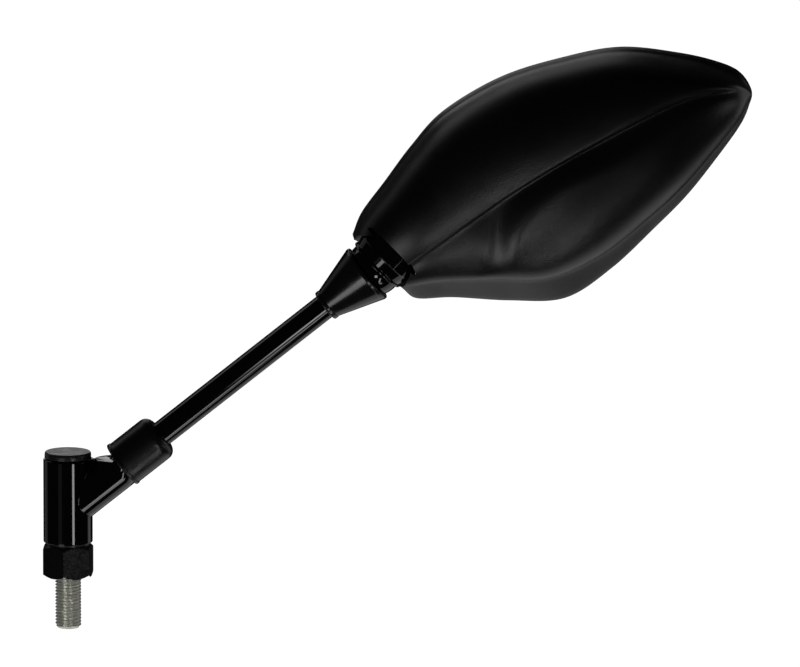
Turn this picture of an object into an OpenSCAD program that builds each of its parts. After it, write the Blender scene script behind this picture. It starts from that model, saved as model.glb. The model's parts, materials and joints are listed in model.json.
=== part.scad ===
// Motorcycle mirror, right way up on its clamp, seen from the front of the bike.
// The origin is on the stud's axis at the seat of the hexagon, Z runs up the stud,
// the stem leans towards +X, the shell faces -Y and the glass faces +Y.

/* [Stud and hexagon] */
// Outer diameter of the mounting thread
stud_d = 10; // [8:0.5:12]
// Length of thread below the hexagon
stud_len = 20; // [14:1:30]
// Chamfer at the end of the thread
stud_chamfer = 1.2; // [0.5:0.1:2]
// Diameter of the shank pressed into the hexagon
press_d = 9; // [8.5:0.1:9.4]
// Length of the shank pressed into the hexagon
press_len = 9; // [6:0.5:11]
// Diameter of the plain shank that the barrel turns on
shank_d = 8; // [6:0.5:8]
// Width of the hexagon across its flats
hex_af = 18; // [17:0.5:22]
// Height of the hexagon
hex_h = 13; // [12:0.5:18]
// Turn of the hexagon about the stud
hex_turn = 21.3; // [0:0.1:60]
// Thickness of the nylon washer on the hexagon
washer_t = 0.8; // [0.5:0.1:1.5]

/* [Barrel] */
// Outer diameter of the barrel
barrel_d = 19; // [19:0.5:24]
// Height of the barrel
barrel_h = 32.6; // [32:0.2:40]
// Length of the chamber above the bush, which holds the springs and the nut
chamber_len = 14.6; // [14.4:0.1:16]
// Wall of the bush
bush_wall = 1.4; // [1:0.1:1.6]
// Radial running clearance of the bush on the shank
bush_clear = 0.03; // [0.02:0.01:0.08]
// Diameter of the chamber that holds the springs
chamber_d = 15; // [15:0.2:15.6]
// Thickness of the thrust washer
thrust_t = 1.2; // [0.8:0.1:1.6]
// Thickness of one disc spring
disc_t = 0.8; // [0.5:0.1:0.9]
// Free cone height of one disc spring
disc_cone = 0.5; // [0.3:0.1:0.6]
// Width of the pivot nut across its flats
nut_af = 12; // [11:0.5:12.5]
// Height of the pivot nut
nut_h = 6; // [5:0.5:6.5]
// Diameter of the cap on the barrel
cap_d = 18; // [17:0.5:18.5]
// Height of the cap above its groove
cap_h = 2.4; // [2:0.1:4]
// Height of the groove under the cap
cap_groove = 0.4; // [0.2:0.1:0.8]

/* [Stem] */
// Rise of the stem above level
stem_rise = 38.5; // [36:0.5:42]
// Height at which the stem's axis meets the barrel's axis
stem_z = 27.3; // [26:0.1:29]
// Diameter of the stem
stem_d = 10; // [9:0.5:10]
// Distance from the barrel's axis to the centre of the ball
ball_at = 151; // [140:1:170]
// Diameter of the boss that takes the stem
boss_d = 17; // [16:0.5:17]
// Distance from the barrel's axis to the end of the boss
boss_end = 26.6; // [26:0.1:28]
// Depth of the tapped hole in the boss
tap_depth = 14; // [10:0.5:14]
// Width of the lock nut across its flats
lock_af = 14; // [13:0.5:14]
// Height of the lock nut
lock_h = 6; // [4:0.5:8]
// Outer diameter of the rubber sleeve
sleeve_d = 19; // [18.6:0.2:22]
// Length of the rubber sleeve
sleeve_len = 19.7; // [16:0.1:24]
// Wall of the rubber sleeve round the lock nut
sleeve_wall = 1.2; // [0.8:0.1:1.2]
// Radius of the sleeve's far edge
sleeve_round = 3.6; // [2:0.1:4]

/* [Ball joint] */
// Diameter of the ball
ball_d = 14; // [13:0.5:14]
// Diameter of the stem's neck below the ball
neck_d = 7; // [6:0.5:7]
// Diameter of the spigot that the ball is pressed on
spigot_d = 5; // [4:0.5:5]
// Wall of the nylon seats
seat_wall = 1.55; // [1.2:0.05:1.8]
// Running clearance on each side of the seats
seat_clear = 0.05; // [0.03:0.01:0.08]
// Wall of the ball holder round the seats
holder_wall = 2.25; // [2:0.05:2.4]
// Half angle of the holder's opening for the stem
holder_open = 44; // [42:1:44]
// Rise of the head's neck above the stem's line
neck_lean = 6.5; // [4:0.5:8]
// Distance of the collar's first bead from the ball's centre
bead_at = 1; // [1:0.1:2]
// Radius of the collar at its bead
bead_r = 11.4; // [11.2:0.1:11.6]
// Radius of the collar at its lip
lip_r = 12.6; // [12.2:0.1:12.9]
// Distance of the lip from the ball's centre
lip_at = 4.3; // [3.5:0.1:5]
// Length of the holder beyond the ball's centre
holder_len = 14.2; // [14:0.1:15]
// Distance of each clamp screw from the neck's axis
clamp_at = 11.2; // [11:0.1:11.4]
// Diameter of the clamp screws
clamp_d = 3; // [2.5:0.5:3]
// Thickness of the clamp plate
plate_t = 2.5; // [2:0.1:3]
// Length of the clamp springs
spring_len = 6; // [5:0.5:8]
// Diameter of the spring wire
wire_d = 0.8; // [0.6:0.1:0.8]
// Turns of each clamp spring
spring_turns = 4; // [3:1:5]
// Thickness of the holder's tongue
tongue_t = 2.8; // [2:0.1:2.8]
// Distance of the tongue's back face behind the neck's axis
tongue_back = 7; // [6.9:0.1:7.5]
// Width of the holder's tongue
tongue_w = 17; // [15:1:18]
// Length of the holder's tongue beyond the holder
tongue_len = 27; // [24:1:30]

/* [Cone boot] */
// Length of the cone boot
boot_len = 21.2; // [18:0.2:24]
// Gap from the ball's centre to the boot's wide end
boot_gap = 3.3; // [3.2:0.1:4]
// Diameter of the boot's narrow end
boot_small_d = 13.4; // [12.6:0.2:14]
// Diameter of the boot's wide end
boot_big_d = 24; // [24:0.2:25]

/* [Housing] */
// Length of the head from the ball's centre to its tip
head_len = 159.5; // [150:0.5:170]
// Width of the head across its middle
head_w = 88.9; // [83:0.1:97]
// Greatest depth of the shell in front of its rim
head_depth = 39; // [37:0.5:42]
// Distance of the rim's plane behind the stem's axis
rim_y = 15; // [15:0.5:17]
// Rise of the head's own axis above level
head_rise = 24.5; // [22:0.5:27]
// Wall of the shell
shell_wall = 2.5; // [2:0.1:3]
// Radius of the neck's bore
mouth_r = 13.4; // [13.2:0.1:13.5]
// Reach of the bore in front of the neck's axis
mouth_deep = 15.4; // [15:0.1:16]
// Distance of the bore's end from the ball's centre
bore_end = 11.6; // [11:0.1:12.4]
// Drop from the sharp crease to the scoop below it
scoop_drop = 5.5; // [4:0.5:6.5]
// Fall of the upper surface towards the crease
crease_roll = 2; // [0:0.5:3]
// Depth of the upright lip round the rim
rim_lip = 6; // [5:0.5:7]

/* [Glass] */
// Radius of curvature of the convex glass
glass_radius = 1200; // [900:50:1600]
// Thickness of the glass
glass_t = 2; // [1.8:0.1:2.4]
// Thickness of the foam pad behind the glass
pad_t = 1; // [0.6:0.1:1.2]
// Thickness of the plastic carrier behind the pad
carrier_t = 2; // [1.6:0.1:2.4]
// Depth of the glass's middle above the rim's plane
glass_crown = 0.5; // [0.3:0.1:0.8]
// Gap round the glass
glass_gap = 0.4; // [0.3:0.1:0.6]
// Diameter of the carrier's bosses for the holder's screws
carrier_boss_d = 6.4; // [6:0.2:7]

/* [Hidden] */

$fn = 64;

// Heights on the stud
barrel_z = hex_h + washer_t;
barrel_top = barrel_z + barrel_h;
bush_len = barrel_h - chamber_len;
bush_top = barrel_z + bush_len;
disc_z = bush_top + thrust_t;
spring_top = disc_z + 2 * (disc_t + disc_cone);
nut_z = spring_top + 1;
stud_proud = 0.8;
cap_skirt = 2;

// Fits of turned parts that only touch
seat_gap = 0.3;
slip = 0.1;

// Ball joint, in distances from the ball's centre
ball_r = ball_d / 2;
seat_in = ball_r + seat_clear;
seat_out = seat_in + seat_wall;
cavity_r = seat_out + seat_clear;
holder_r = cavity_r + holder_wall;
recess_r = holder_r + 0.4;
// Angles from the far side of the ball at which the two seats end and start
cup_to = 68;
ring_from = 98;
ring_to = 126;
neck_rise = stem_rise + neck_lean;
ear_t = 3;
ear_r = 2.8;
ear_z = holder_len - ear_t;
plate_z = holder_len + 0.4;
spring_z = plate_z + plate_t;
clamp_head_z = spring_z + spring_len;
clamp_head_h = 2.2;
clamp_head_d = 5.6;
tongue_y = tongue_back - tongue_t;
holder_screw_d = 3;
holder_head_h = 2;
holder_head_d = 5.8;
// Places of the holder's screws: along the neck, then across it
screw_places = [[22, 5], [22, -5], [36, 0]];

// Frames: along the stem, along the neck and along the head
module stem_frame() translate([0, 0, stem_z]) rotate([0, 90 - stem_rise, 0]) children();
module ball_frame() stem_frame() translate([0, 0, ball_at]) children();
module neck_frame() ball_frame() rotate([0, -neck_lean, 0]) children();
module head_frame() ball_frame() rotate([0, stem_rise - head_rise - 90, 0]) children();

// Outline of the head

// Each row is one station from the neck to the tip, at the sizes that the outline was drawn at:
// upper edge along and across, lower edge along and across
stations = [
    [-3.5, 13, 6, -14.5],
    [3.5, 19.5, 9, -20],
    [16.3, 26.7, 22, -25.5],
    [31.6, 35.3, 41, -35.5],
    [48.4, 42.5, 61, -43.5],
    [73.5, 45.4, 82, -40.3],
    [98, 42.6, 103.5, -32.8],
    [120.5, 37, 120.8, -26],
    [140.5, 25.3, 138.8, -16.5],
    [153, 15.5, 150.5, -9.5],
    [158.5, 8.5, 156.5, -4],
    [159.5, 0.5, 159.5, 0.5]];
// Share of the way from the upper edge to the lower at which the crease runs
crease_share = [0.66, 0.59, 0.526, 0.458, 0.419, 0.41, 0.401, 0.375, 0.31, 0.3, 0.35, 0.4];
// Share of the greatest depth at the crease
depth_share = [0.62, 0.71, 0.83, 0.9, 0.955, 1, 0.985, 0.93, 0.81, 0.63, 0.42, 0.2];
// Share of the full drop from crease to scoop
drop_share = [0.7, 0.65, 0.6, 0.68, 0.92, 0.85, 0.75, 0.55, 0.3, 0.1, 0, 0];
// Share of the lower surface that the scoop takes
scoop_share = [1.5, 1.5, 1.2, 0.62, 0, -0.08, -0.02, -0.02, -0.08, -0.1, -0.1, -0.1];
// Share of the lower surface over which the scoop runs out
soft_share = [0.3, 0.3, 0.4, 0.55, 0.36, 0.3, 0.3, 0.3, 0.3, 0.3, 0.3, 0.3];
// Width of the lip below the lower surface, and of the one that comes round the tip
low_band = [3, 8.2, 10.3, 13.2, 12.5, 8.4, 6, 5, 4, 3.2, 2.6, 1];
up_band = [0.8, 0.8, 0.8, 0.8, 0.8, 0.8, 0.8, 0.9, 1.2, 2, 2.6, 1];
// Depth of a band for its width, its least width, and the draft of the lip behind it
band_slope = 0.8;
least_band = 0.6;
lip_draft = 0.3;
last = len(stations) - 1;
// Sizes that the outline was drawn at
drawn_len = stations[last][0];
drawn_w = max([for (p = stations) p[1]]) - min([for (p = stations) p[3]]);
drawn_mouth_r = 13.4;
// Number of stations over which the neck's width passes into the head's
neck_blend = 4;

// Rows for each stretch between two stations, and points across each row
row_steps = 4;
up_steps = 12;
low_steps = 14;
// Roundness of the section: 2 is an ellipse, more is boxier, as it is by the neck
fullness = 2.5;
neck_fullness = 0.7;
// Greatest share of the depth that the fall towards the crease takes
roll_limit = 0.06;

function curve(a, b, c, d, t) =
    0.5 * (2 * b + (c - a) * t + (2 * a - 5 * b + 4 * c - d) * t * t
    + (3 * b - a - 3 * c + d) * t * t * t);
function along(list, before, after, s) =
    let (i = min(floor(s), len(list) - 2))
    curve(i == 0 ? before : list[i - 1], list[i], list[i + 1],
        i == len(list) - 2 ? after : list[i + 2], s - i);
function share(list, s) =
    along(list, 2 * list[0] - list[1], 2 * list[last] - list[last - 1], s);

long_scale = head_len / drawn_len;
wide_scale = head_w / drawn_w;
neck_scale = mouth_r / drawn_mouth_r;
function widen(i) = neck_scale + (wide_scale - neck_scale) * min(1, i / neck_blend);
upper_edge = [for (i = [0:last]) [stations[i][0] * long_scale, stations[i][1] * widen(i)]];
lower_edge = [for (i = [0:last]) [stations[i][2] * long_scale, stations[i][3] * widen(i)]];
function upper_at(s) =
    along(upper_edge, 2 * upper_edge[0] - upper_edge[1], lower_edge[last - 1], s);
function lower_at(s) =
    along(lower_edge, 2 * lower_edge[0] - lower_edge[1], upper_edge[last - 1], s);

// The same edges set in by a wall, at right angles to the outline
probe = 0.05;
function unit(v) = v / norm(v);
function side(v) = [v[1], -v[0]];
function upper_in(s, inset) =
    let (d = upper_at(min(s + probe, last)) - upper_at(max(s - probe, 0)))
    upper_at(s) + inset * side(unit(d));
function lower_in(s, inset) =
    let (d = lower_at(min(s + probe, last)) - lower_at(max(s - probe, 0)))
    lower_at(s) - inset * side(unit(d));

// One row of the shell's skin, as [across share, depth] pairs turned into points
function smooth(x) = let (c = max(0, min(1, x))) c * c * (3 - 2 * c);
function row(s_up, s_low, inset) =
    let (
        s = (s_up + s_low) / 2,
        top = upper_in(s_up, inset),
        bottom = lower_in(s_low, inset),
        width = norm(bottom - top),
        dir = unit(bottom - top),
        depth = head_depth * share(depth_share, s) - inset,
        crease = width * share(crease_share, s) - 1.4 * inset,
        up = max(least_band, share(up_band, s)),
        low = max(least_band, share(low_band, s)),
        up_d = min(rim_lip + up * band_slope, depth - 1),
        low_d = min(rim_lip + low * band_slope, depth - 1),
        roll = min(crease_roll, depth * roll_limit),
        drop = min(scoop_drop * max(0, share(drop_share, s)), depth - roll - low_d),
        reach = share(scoop_share, s),
        soft = share(soft_share, s),
        power = fullness + neck_fullness * max(0, 1 - s / 3),
        upper = [for (k = [0:up_steps]) let (
            a = 90 * k / up_steps,
            x = 1 - pow(cos(a), 2 / power),
            rise = pow(sin(a), 2 / power))
            [up + (crease - up) * x,
             up_d + (depth - up_d) * rise - roll * pow(x, 4)]],
        lower = [for (k = [0:low_steps]) let (
            a = 90 * k / low_steps,
            b = pow(sin(a), 2 / power),
            rise = pow(cos(a), 2 / power),
            dip = drop * (1 - smooth((b - reach) / soft)) * (1 - pow(b, 6)))
            [crease + foot_w + (width - low - crease - foot_w) * b,
             low_d + (depth - roll - low_d) * rise - dip]],
        all = concat([[0, 0], [lip_draft, rim_lip - 1]], upper, lower,
            [[width - lip_draft, rim_lip - 1], [width, 0]]))
    [for (q = all) let (p = top + q[0] * dir) [p[0], rim_y - q[1], p[1]]];

row_len = up_steps + low_steps + 6;
// Width of the steep face under the crease
foot_w = 0.8;
// Stations at which the cavity starts, along the upper edge and along the lower
cavity_up = 1;
cavity_low = 1.4;
row_count = last * row_steps;
function from(start, i) = start + (last - start) * i / row_count;
rows_out = [for (i = [0:row_count - 1]) row(from(0, i), from(0, i), 0)];
rows_in = [for (i = [0:row_count - 1])
    row(from(cavity_up, i), from(cavity_low, i), shell_wall)];
tip = upper_at(last);
tips = [for (inset = [0, shell_wall], depth = [0, rim_lip - 1])
    [tip[0] - inset, rim_y - depth, tip[1]]];

// The shell as one closed skin: outer rows, inner rows and the rim's flat face between them
module shell_solid() {
    per_skin = row_count * row_len;
    function at(skin, i, j) = skin * per_skin + i * row_len + j;
    function tip_rim(skin) = 2 * per_skin + 2 * skin;
    function tip_lip(skin) = tip_rim(skin) + 1;
    function turned(face, skin) = skin == 0 ? face : [face[2], face[1], face[0]];
    e = row_count - 1;
    r = row_len - 1;
    skin_faces = [for (skin = [0, 1], i = [0:e - 1], j = [0:r - 1])
        each [turned([at(skin, i, j), at(skin, i + 1, j), at(skin, i, j + 1)], skin),
              turned([at(skin, i, j + 1), at(skin, i + 1, j), at(skin, i + 1, j + 1)], skin)]];
    tip_faces = [for (skin = [0, 1]) each concat(
        [turned([at(skin, e, 0), tip_rim(skin), at(skin, e, 1)], skin),
         turned([at(skin, e, 1), tip_rim(skin), tip_lip(skin)], skin),
         turned([at(skin, e, r - 1), tip_lip(skin), tip_rim(skin)], skin),
         turned([at(skin, e, r - 1), tip_rim(skin), at(skin, e, r)], skin)],
        [for (j = [1:r - 2]) turned([at(skin, e, j), tip_lip(skin), at(skin, e, j + 1)], skin)])];
    rim_faces = [for (i = [0:e - 1])
        each [[at(0, i, 0), at(1, i, 0), at(0, i + 1, 0)],
              [at(1, i, 0), at(1, i + 1, 0), at(0, i + 1, 0)],
              [at(0, i, r), at(0, i + 1, r), at(1, i, r)],
              [at(1, i, r), at(0, i + 1, r), at(1, i + 1, r)]]];
    end_faces = [
        [at(0, e, 0), at(1, e, 0), tip_rim(0)], [at(1, e, 0), tip_rim(1), tip_rim(0)],
        [at(0, e, r), tip_rim(0), at(1, e, r)], [at(1, e, r), tip_rim(0), tip_rim(1)],
        [at(0, 0, r), at(1, 0, 0), at(0, 0, 0)], [at(0, 0, r), at(1, 0, r), at(1, 0, 0)],
        [for (j = [0:r]) at(0, 0, j)],
        [for (j = [r:-1:0]) at(1, 0, j)]];
    points = concat([for (line = rows_out) each line], [for (line = rows_in) each line], tips);
    polyhedron(points, concat(skin_faces, tip_faces, rim_faces, end_faces), convexity = 8);
}

// An outline on the rim's plane, set in from the outer edge, between two stations
function rim_outline(inset, start_up, start_low, finish) = concat(
    [for (i = [0:row_count - 1])
        upper_in(start_up + (finish - start_up) * i / row_count, inset)],
    finish < last ? [] : [[tip[0] - inset, tip[1]]],
    [for (i = [row_count - 1:-1:0])
        lower_in(start_low + (finish - start_low) * i / row_count, inset)]);

// A place on the neck, given along and across it, on the head's own axes
head_from_neck = neck_rise - head_rise;
function on_head(p) = [p[0] * cos(head_from_neck) - p[1] * sin(head_from_neck),
    p[0] * sin(head_from_neck) + p[1] * cos(head_from_neck)];

// Base

module threaded_stud() {
    color("silver") {
        translate([0, 0, -stud_len]) cylinder(h = stud_chamfer, d1 = stud_d - 2 * stud_chamfer,
            d2 = stud_d);
        translate([0, 0, stud_chamfer - stud_len]) cylinder(h = stud_len - stud_chamfer, d = stud_d);
        cylinder(h = press_len, d = press_d);
        translate([0, 0, press_len]) cylinder(h = nut_z + nut_h + stud_proud - press_len, d = shank_d);
    }
}

module hex_base() {
    edge = 2.4;
    color("#17181a") difference() {
        intersection() {
            rotate(hex_turn) cylinder(h = hex_h, d = hex_af / cos(30), $fn = 6);
            rotate_extrude() polygon([[0, 0], [hex_af / 2 - 0.3, 0], [hex_af / 2 + 2.2, edge],
                [hex_af / 2 + 2.2, hex_h - edge], [hex_af / 2 - 0.3, hex_h], [0, hex_h]]);
        }
        translate([0, 0, -1]) cylinder(h = press_len + 1, d = press_d);
        cylinder(h = hex_h + 1, d = shank_d);
    }
}

module flat_washer(outer, inner, thick) {
    difference() {
        cylinder(h = thick, d = outer);
        translate([0, 0, -1]) cylinder(h = thick + 2, d = inner);
    }
}

module lower_washer() {
    color("#1c1c1c") translate([0, 0, hex_h])
        flat_washer(barrel_d - 2, shank_d + 2 * slip, washer_t);
}

module swivel_body() {
    color("#0c0c0d") difference() {
        union() {
            translate([0, 0, barrel_z]) cylinder(h = barrel_h, d = barrel_d);
            intersection() {
                stem_frame() cylinder(h = boss_end, d = boss_d);
                translate([0, -barrel_d, 0]) cube([3 * barrel_d, 2 * barrel_d, barrel_top]);
            }
        }
        translate([0, 0, barrel_z - 1]) cylinder(h = bush_len + 1, d = shank_d + 2 * bush_wall);
        translate([0, 0, bush_top]) cylinder(h = barrel_h, d = chamber_d);
        stem_frame() translate([0, 0, boss_end - tap_depth])
            cylinder(h = tap_depth + 1, d = stem_d);
    }
}

module pivot_bush() {
    color("#b08d4c") translate([0, 0, barrel_z])
        flat_washer(shank_d + 2 * bush_wall, shank_d + 2 * bush_clear, bush_len);
}

module thrust_washer() {
    color("silver") translate([0, 0, bush_top])
        flat_washer(chamber_d - 2 * seat_gap, shank_d + 2 * slip, thrust_t);
}

// Two cone-shaped spring washers, wide ends together
module disc_springs() {
    outer = chamber_d / 2 - seat_gap - 0.2;
    inner = shank_d / 2 + seat_gap;
    module disc() rotate_extrude() polygon([[inner, 0], [inner, disc_t],
        [outer, disc_t + disc_cone], [outer, disc_cone]]);
    color("#6f7378") {
        translate([0, 0, disc_z]) disc();
        translate([0, 0, spring_top]) mirror([0, 0, 1]) disc();
    }
}

module spring_washer() {
    color("silver") translate([0, 0, spring_top])
        flat_washer(chamber_d - 2 * seat_gap, shank_d + 2 * slip, nut_z - spring_top);
}

module pivot_nut() {
    color("silver") translate([0, 0, nut_z]) difference() {
        intersection() {
            cylinder(h = nut_h, d = nut_af / cos(30), $fn = 6);
            rotate_extrude() polygon([[0, 0], [nut_af / 2 + 0.9, 0],
                [nut_af / 2 + 0.9, nut_h - 1], [nut_af / 2 - 0.6, nut_h], [0, nut_h]]);
        }
        translate([0, 0, -1]) cylinder(h = nut_h + 2, d = shank_d);
    }
}

module top_cap() {
    round_r = 0.8;
    neck = chamber_d / 2 - slip;
    base = barrel_top + cap_groove;
    color("#141415") rotate_extrude() difference() {
        union() {
            translate([0, barrel_top - cap_skirt]) square([neck, cap_skirt + cap_groove]);
            translate([0, base]) square([cap_d / 2, cap_h - round_r]);
            translate([0, base]) square([cap_d / 2 - round_r, cap_h]);
            translate([cap_d / 2 - round_r, base + cap_h - round_r]) circle(round_r);
        }
        translate([0, barrel_top - cap_skirt - 1]) square([neck - 1.2, cap_skirt + 1]);
    }
}

// Stem

module stem() {
    taper = 2;
    thin_at = ball_at - recess_r - taper;
    color("#0e0e0f") stem_frame() rotate_extrude() polygon([
        [0, boss_end - tap_depth + 0.5], [stem_d / 2, boss_end - tap_depth + 0.5],
        [stem_d / 2, thin_at], [neck_d / 2, thin_at + taper],
        [neck_d / 2, ball_at - ball_flat], [spigot_d / 2, ball_at - ball_flat],
        [spigot_d / 2, ball_at + ball_r - 2], [0, ball_at + ball_r - 2]]);
}
// Distance from the ball's centre to the flat that sits on the stem's neck
ball_flat = sqrt(pow(ball_r, 2) - pow(neck_d / 2 + 0.2, 2));

module lock_nut() {
    color("#222325") stem_frame() translate([0, 0, boss_end]) difference() {
        cylinder(h = lock_h, d = lock_af / cos(30), $fn = 6);
        translate([0, 0, -1]) cylinder(h = lock_h + 2, d = stem_d);
    }
}

module stem_sleeve() {
    r = sleeve_d / 2;
    room = r - sleeve_wall;
    top = sleeve_len - sleeve_round;
    lip = 1.2;
    color("#1c1d1f") stem_frame() translate([0, 0, boss_end]) rotate_extrude() difference() {
        union() {
            square([r - 0.3, top]);
            square([r, lip]);
            square([r - sleeve_round, sleeve_len]);
            translate([r - sleeve_round - 0.3, top]) circle(sleeve_round);
        }
        translate([-r, -r]) square([2 * r, r]);
        translate([0, -1]) square([stem_d / 2, sleeve_len + 2]);
        translate([0, -1]) square([room, lock_h + 1 + seat_gap]);
    }
}

module ball() {
    color("#8d9196") ball_frame() rotate_extrude() difference() {
        circle(ball_r);
        translate([-2 * ball_r, -2 * ball_r]) square([2 * ball_r, 4 * ball_r]);
        translate([0, -2 * ball_r]) square([2 * ball_r, 2 * ball_r - ball_flat]);
        translate([0, -2 * ball_r]) square([spigot_d / 2, 3 * ball_r - 2]);
    }
}

// Rubber cone on the stem, hollowed to clear the round back of the ball holder
module cone_boot() {
    wide = -boot_gap;
    narrow = wide - boot_len;
    rs = boot_small_d / 2;
    rb = boot_big_d / 2;
    bead = 1.6;
    edge = 1;
    color("#1a1b1d") ball_frame() rotate_extrude() difference() {
        union() {
            polygon([[0, narrow], [rs - 0.6, narrow], [rs - 0.6, narrow + bead],
                [rb, wide - edge], [rb - edge, wide], [0, wide]]);
            translate([0, narrow]) square([rs, bead]);
            translate([rb - edge, wide - edge]) circle(edge);
        }
        translate([-2 * rb, narrow - 1]) square([2 * rb, 2 * boot_len]);
        translate([0, narrow - 1]) square([stem_d / 2, boot_len + 3]);
        circle(recess_r);
    }
}

// Ball joint

// Half section of a round seat between two angles from the far side of the ball
module seat_section(from, to) {
    far = 3 * seat_out;
    intersection() {
        difference() {
            circle(seat_out);
            circle(seat_in);
        }
        polygon([[0, 0], [far * sin(from), far * cos(from)],
            [far * sin((from + to) / 2), far * cos((from + to) / 2)],
            [far * sin(to), far * cos(to)]]);
    }
}

module seat_cup() {
    color("#e8e4d8") ball_frame() rotate_extrude() seat_section(0, cup_to);
}

module seat_ring() {
    color("#e8e4d8") ball_frame() rotate_extrude() seat_section(ring_from, ring_to);
}

module ball_holder() {
    hr = holder_r;
    color("#101011") neck_frame() difference() {
        union() {
            rotate_extrude() difference() {
                union() {
                    circle(hr);
                    polygon([[0, bead_at], [bead_r, bead_at], [bead_r, bead_at + 0.6],
                        [lip_r - 0.4, lip_at], [lip_r, lip_at], [lip_r, lip_at + 0.8],
                        [hr, lip_at + 0.8], [hr, holder_len], [0, holder_len]]);
                }
                translate([-2 * hr, -2 * hr]) square([2 * hr, 4 * hr]);
                translate([0, holder_len]) square([2 * hr, hr]);
                circle(cavity_r);
                square([cavity_r, holder_len + 1]);
                polygon([[0, 0], [2 * hr * sin(holder_open), -2 * hr * cos(holder_open)],
                    [0, -2 * hr]]);
            }
            for (side = [-1, 1]) difference() {
                translate([min(0, side * clamp_at), -ear_r, ear_z])
                    cube([clamp_at, 2 * ear_r, ear_t]);
                translate([0, 0, ear_z - 1]) cylinder(h = ear_t + 2, r = cavity_r + 0.5);
            }
            for (side = [-1, 1]) translate([side * clamp_at, 0, ear_z])
                cylinder(h = ear_t, r = ear_r);
            difference() {
                translate([-tongue_w / 2, tongue_y, ear_z])
                    cube([tongue_w, tongue_t, holder_len + tongue_len - ear_z]);
                cylinder(h = holder_len, r = cavity_r + 0.5);
            }
        }
        for (side = [-1, 1]) translate([side * clamp_at, 0, ear_z - 1])
            cylinder(h = ear_t + 2, d = clamp_d);
        for (p = screw_places) translate([-p[1], 0, p[0]]) rotate([-90, 0, 0])
            cylinder(h = 4 * ear_t, d = holder_screw_d + 2 * slip);
    }
}

module clamp_plate() {
    plate_w = 8;
    press_r = 4;
    press_z = cavity_r - 1.8;
    color("#9a9ea3") neck_frame() difference() {
        union() {
            translate([-clamp_at, -plate_w / 2, plate_z]) cube([2 * clamp_at, plate_w, plate_t]);
            for (side = [-1, 1]) translate([side * clamp_at, 0, plate_z])
                cylinder(h = plate_t, r = ear_r);
            translate([0, 0, press_z]) cylinder(h = plate_z - press_z, r = press_r);
        }
        sphere(cavity_r);
        for (side = [-1, 1]) translate([side * clamp_at, 0, plate_z - 1])
            cylinder(h = plate_t + 2, d = clamp_d + 4 * slip);
    }
}

// A wire coil, swept round the Z axis with a ring of points at each step
module coil(radius, wire, height, turns) {
    sides = 6;
    steps = 12 * turns;
    rise = (height - wire) / steps;
    points = [for (i = [0:steps], k = [0:sides - 1]) let (
        a = 360 * turns * i / steps,
        b = 360 * k / sides,
        r = radius + wire / 2 * cos(b))
        [r * cos(a), r * sin(a), wire / 2 + rise * i + wire / 2 * sin(b)]];
    tube = [for (i = [0:steps - 1], k = [0:sides - 1]) let (
        n = (k + 1) % sides,
        p = i * sides,
        q = p + sides)
        each [[p + k, p + n, q + k], [p + n, q + n, q + k]]];
    caps = [[for (k = [sides - 1:-1:0]) k], [for (k = [0:sides - 1]) steps * sides + k]];
    polyhedron(points, concat(tube, caps), convexity = 10);
}

module clamp_springs() {
    color("#b9bdc2") neck_frame() for (side = [-1, 1])
        translate([side * clamp_at, 0, spring_z + 0.05])
            coil(clamp_d / 2 + 0.3 + wire_d / 2, wire_d, spring_len - 0.1, spring_turns);
}

// Round-headed screw with a cross recess, head upwards
module screw(d, length, head_d, head_h) {
    slot_len = 0.62 * head_d;
    slot_w = 0.8;
    difference() {
        union() {
            cylinder(h = length, d = d);
            translate([0, 0, length]) cylinder(h = head_h, d = head_d);
        }
        for (a = [0, 90]) rotate(a) translate([-slot_len / 2, -slot_w / 2, length + head_h / 2])
            cube([slot_len, slot_w, head_h]);
    }
}

module clamp_screws() {
    color("#b9bdc2") neck_frame() for (side = [-1, 1])
        translate([side * clamp_at, 0, ear_z + 0.2])
            screw(clamp_d, clamp_head_z - ear_z - 0.2, clamp_head_d, clamp_head_h);
}

// Depth to which the holder's screws bite in the carrier's bosses
screw_bite = 3.6;
module holder_screws() {
    color("#b9bdc2") neck_frame() for (p = screw_places)
        translate([-p[1], tongue_back + screw_bite, p[0]]) rotate([90, 0, 0])
            screw(holder_screw_d, screw_bite + tongue_t, holder_head_d, holder_head_h);
}

// Head

// The moulded shell: one lofted skin with its cavity, cut by the neck's stepped bore and by
// the room for the holder's ears.
// The resize keeps its size, and makes skin and bore one closed mesh.
module housing() {
    color("#1a1b1c") resize([0, 0, 0]) difference() {
        head_frame() shell_solid();
        neck_frame() scale([1, mouth_deep / mouth_r, 1]) translate([0, 0, -mouth_r])
            cylinder(h = mouth_r + bore_end, r = mouth_r);
        neck_frame() cylinder(h = holder_len + 2 * seat_gap, r = holder_r + seat_gap);
        neck_frame() for (side = [-1, 1]) translate([side * clamp_at, 0, ear_z - seat_gap])
            cylinder(h = clamp_head_z + 2 * clamp_head_h - ear_z, r = ear_r + seat_gap);
    }
}

// A slice of the ball-shaped mirror surface, cut to an outline on the rim's plane
module lens(depth, thick, outline) {
    outer = glass_radius - depth;
    sweep = 0.6 * head_len;
    head_frame() intersection() {
        translate([0, rim_y + 3 * glass_t, 0]) rotate([90, 0, 0])
            linear_extrude(8 * glass_t) polygon(outline);
        translate([head_len / 2, rim_y + glass_crown - glass_radius, 0]) rotate([-90, 0, 0])
            rotate_extrude() intersection() {
                difference() {
                    circle(outer, $fn = 1440);
                    circle(outer - thick, $fn = 1440);
                }
                translate([0, outer / 2]) square([sweep, outer]);
            }
    }
}

// How far the carrier's and the pad's edges lie inside the glass's
carrier_margin = 1;
pad_margin = 6;
glass_inset = shell_wall + glass_gap;
carrier_inset = glass_inset + carrier_margin;
pad_inset = glass_inset + pad_margin;

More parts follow.
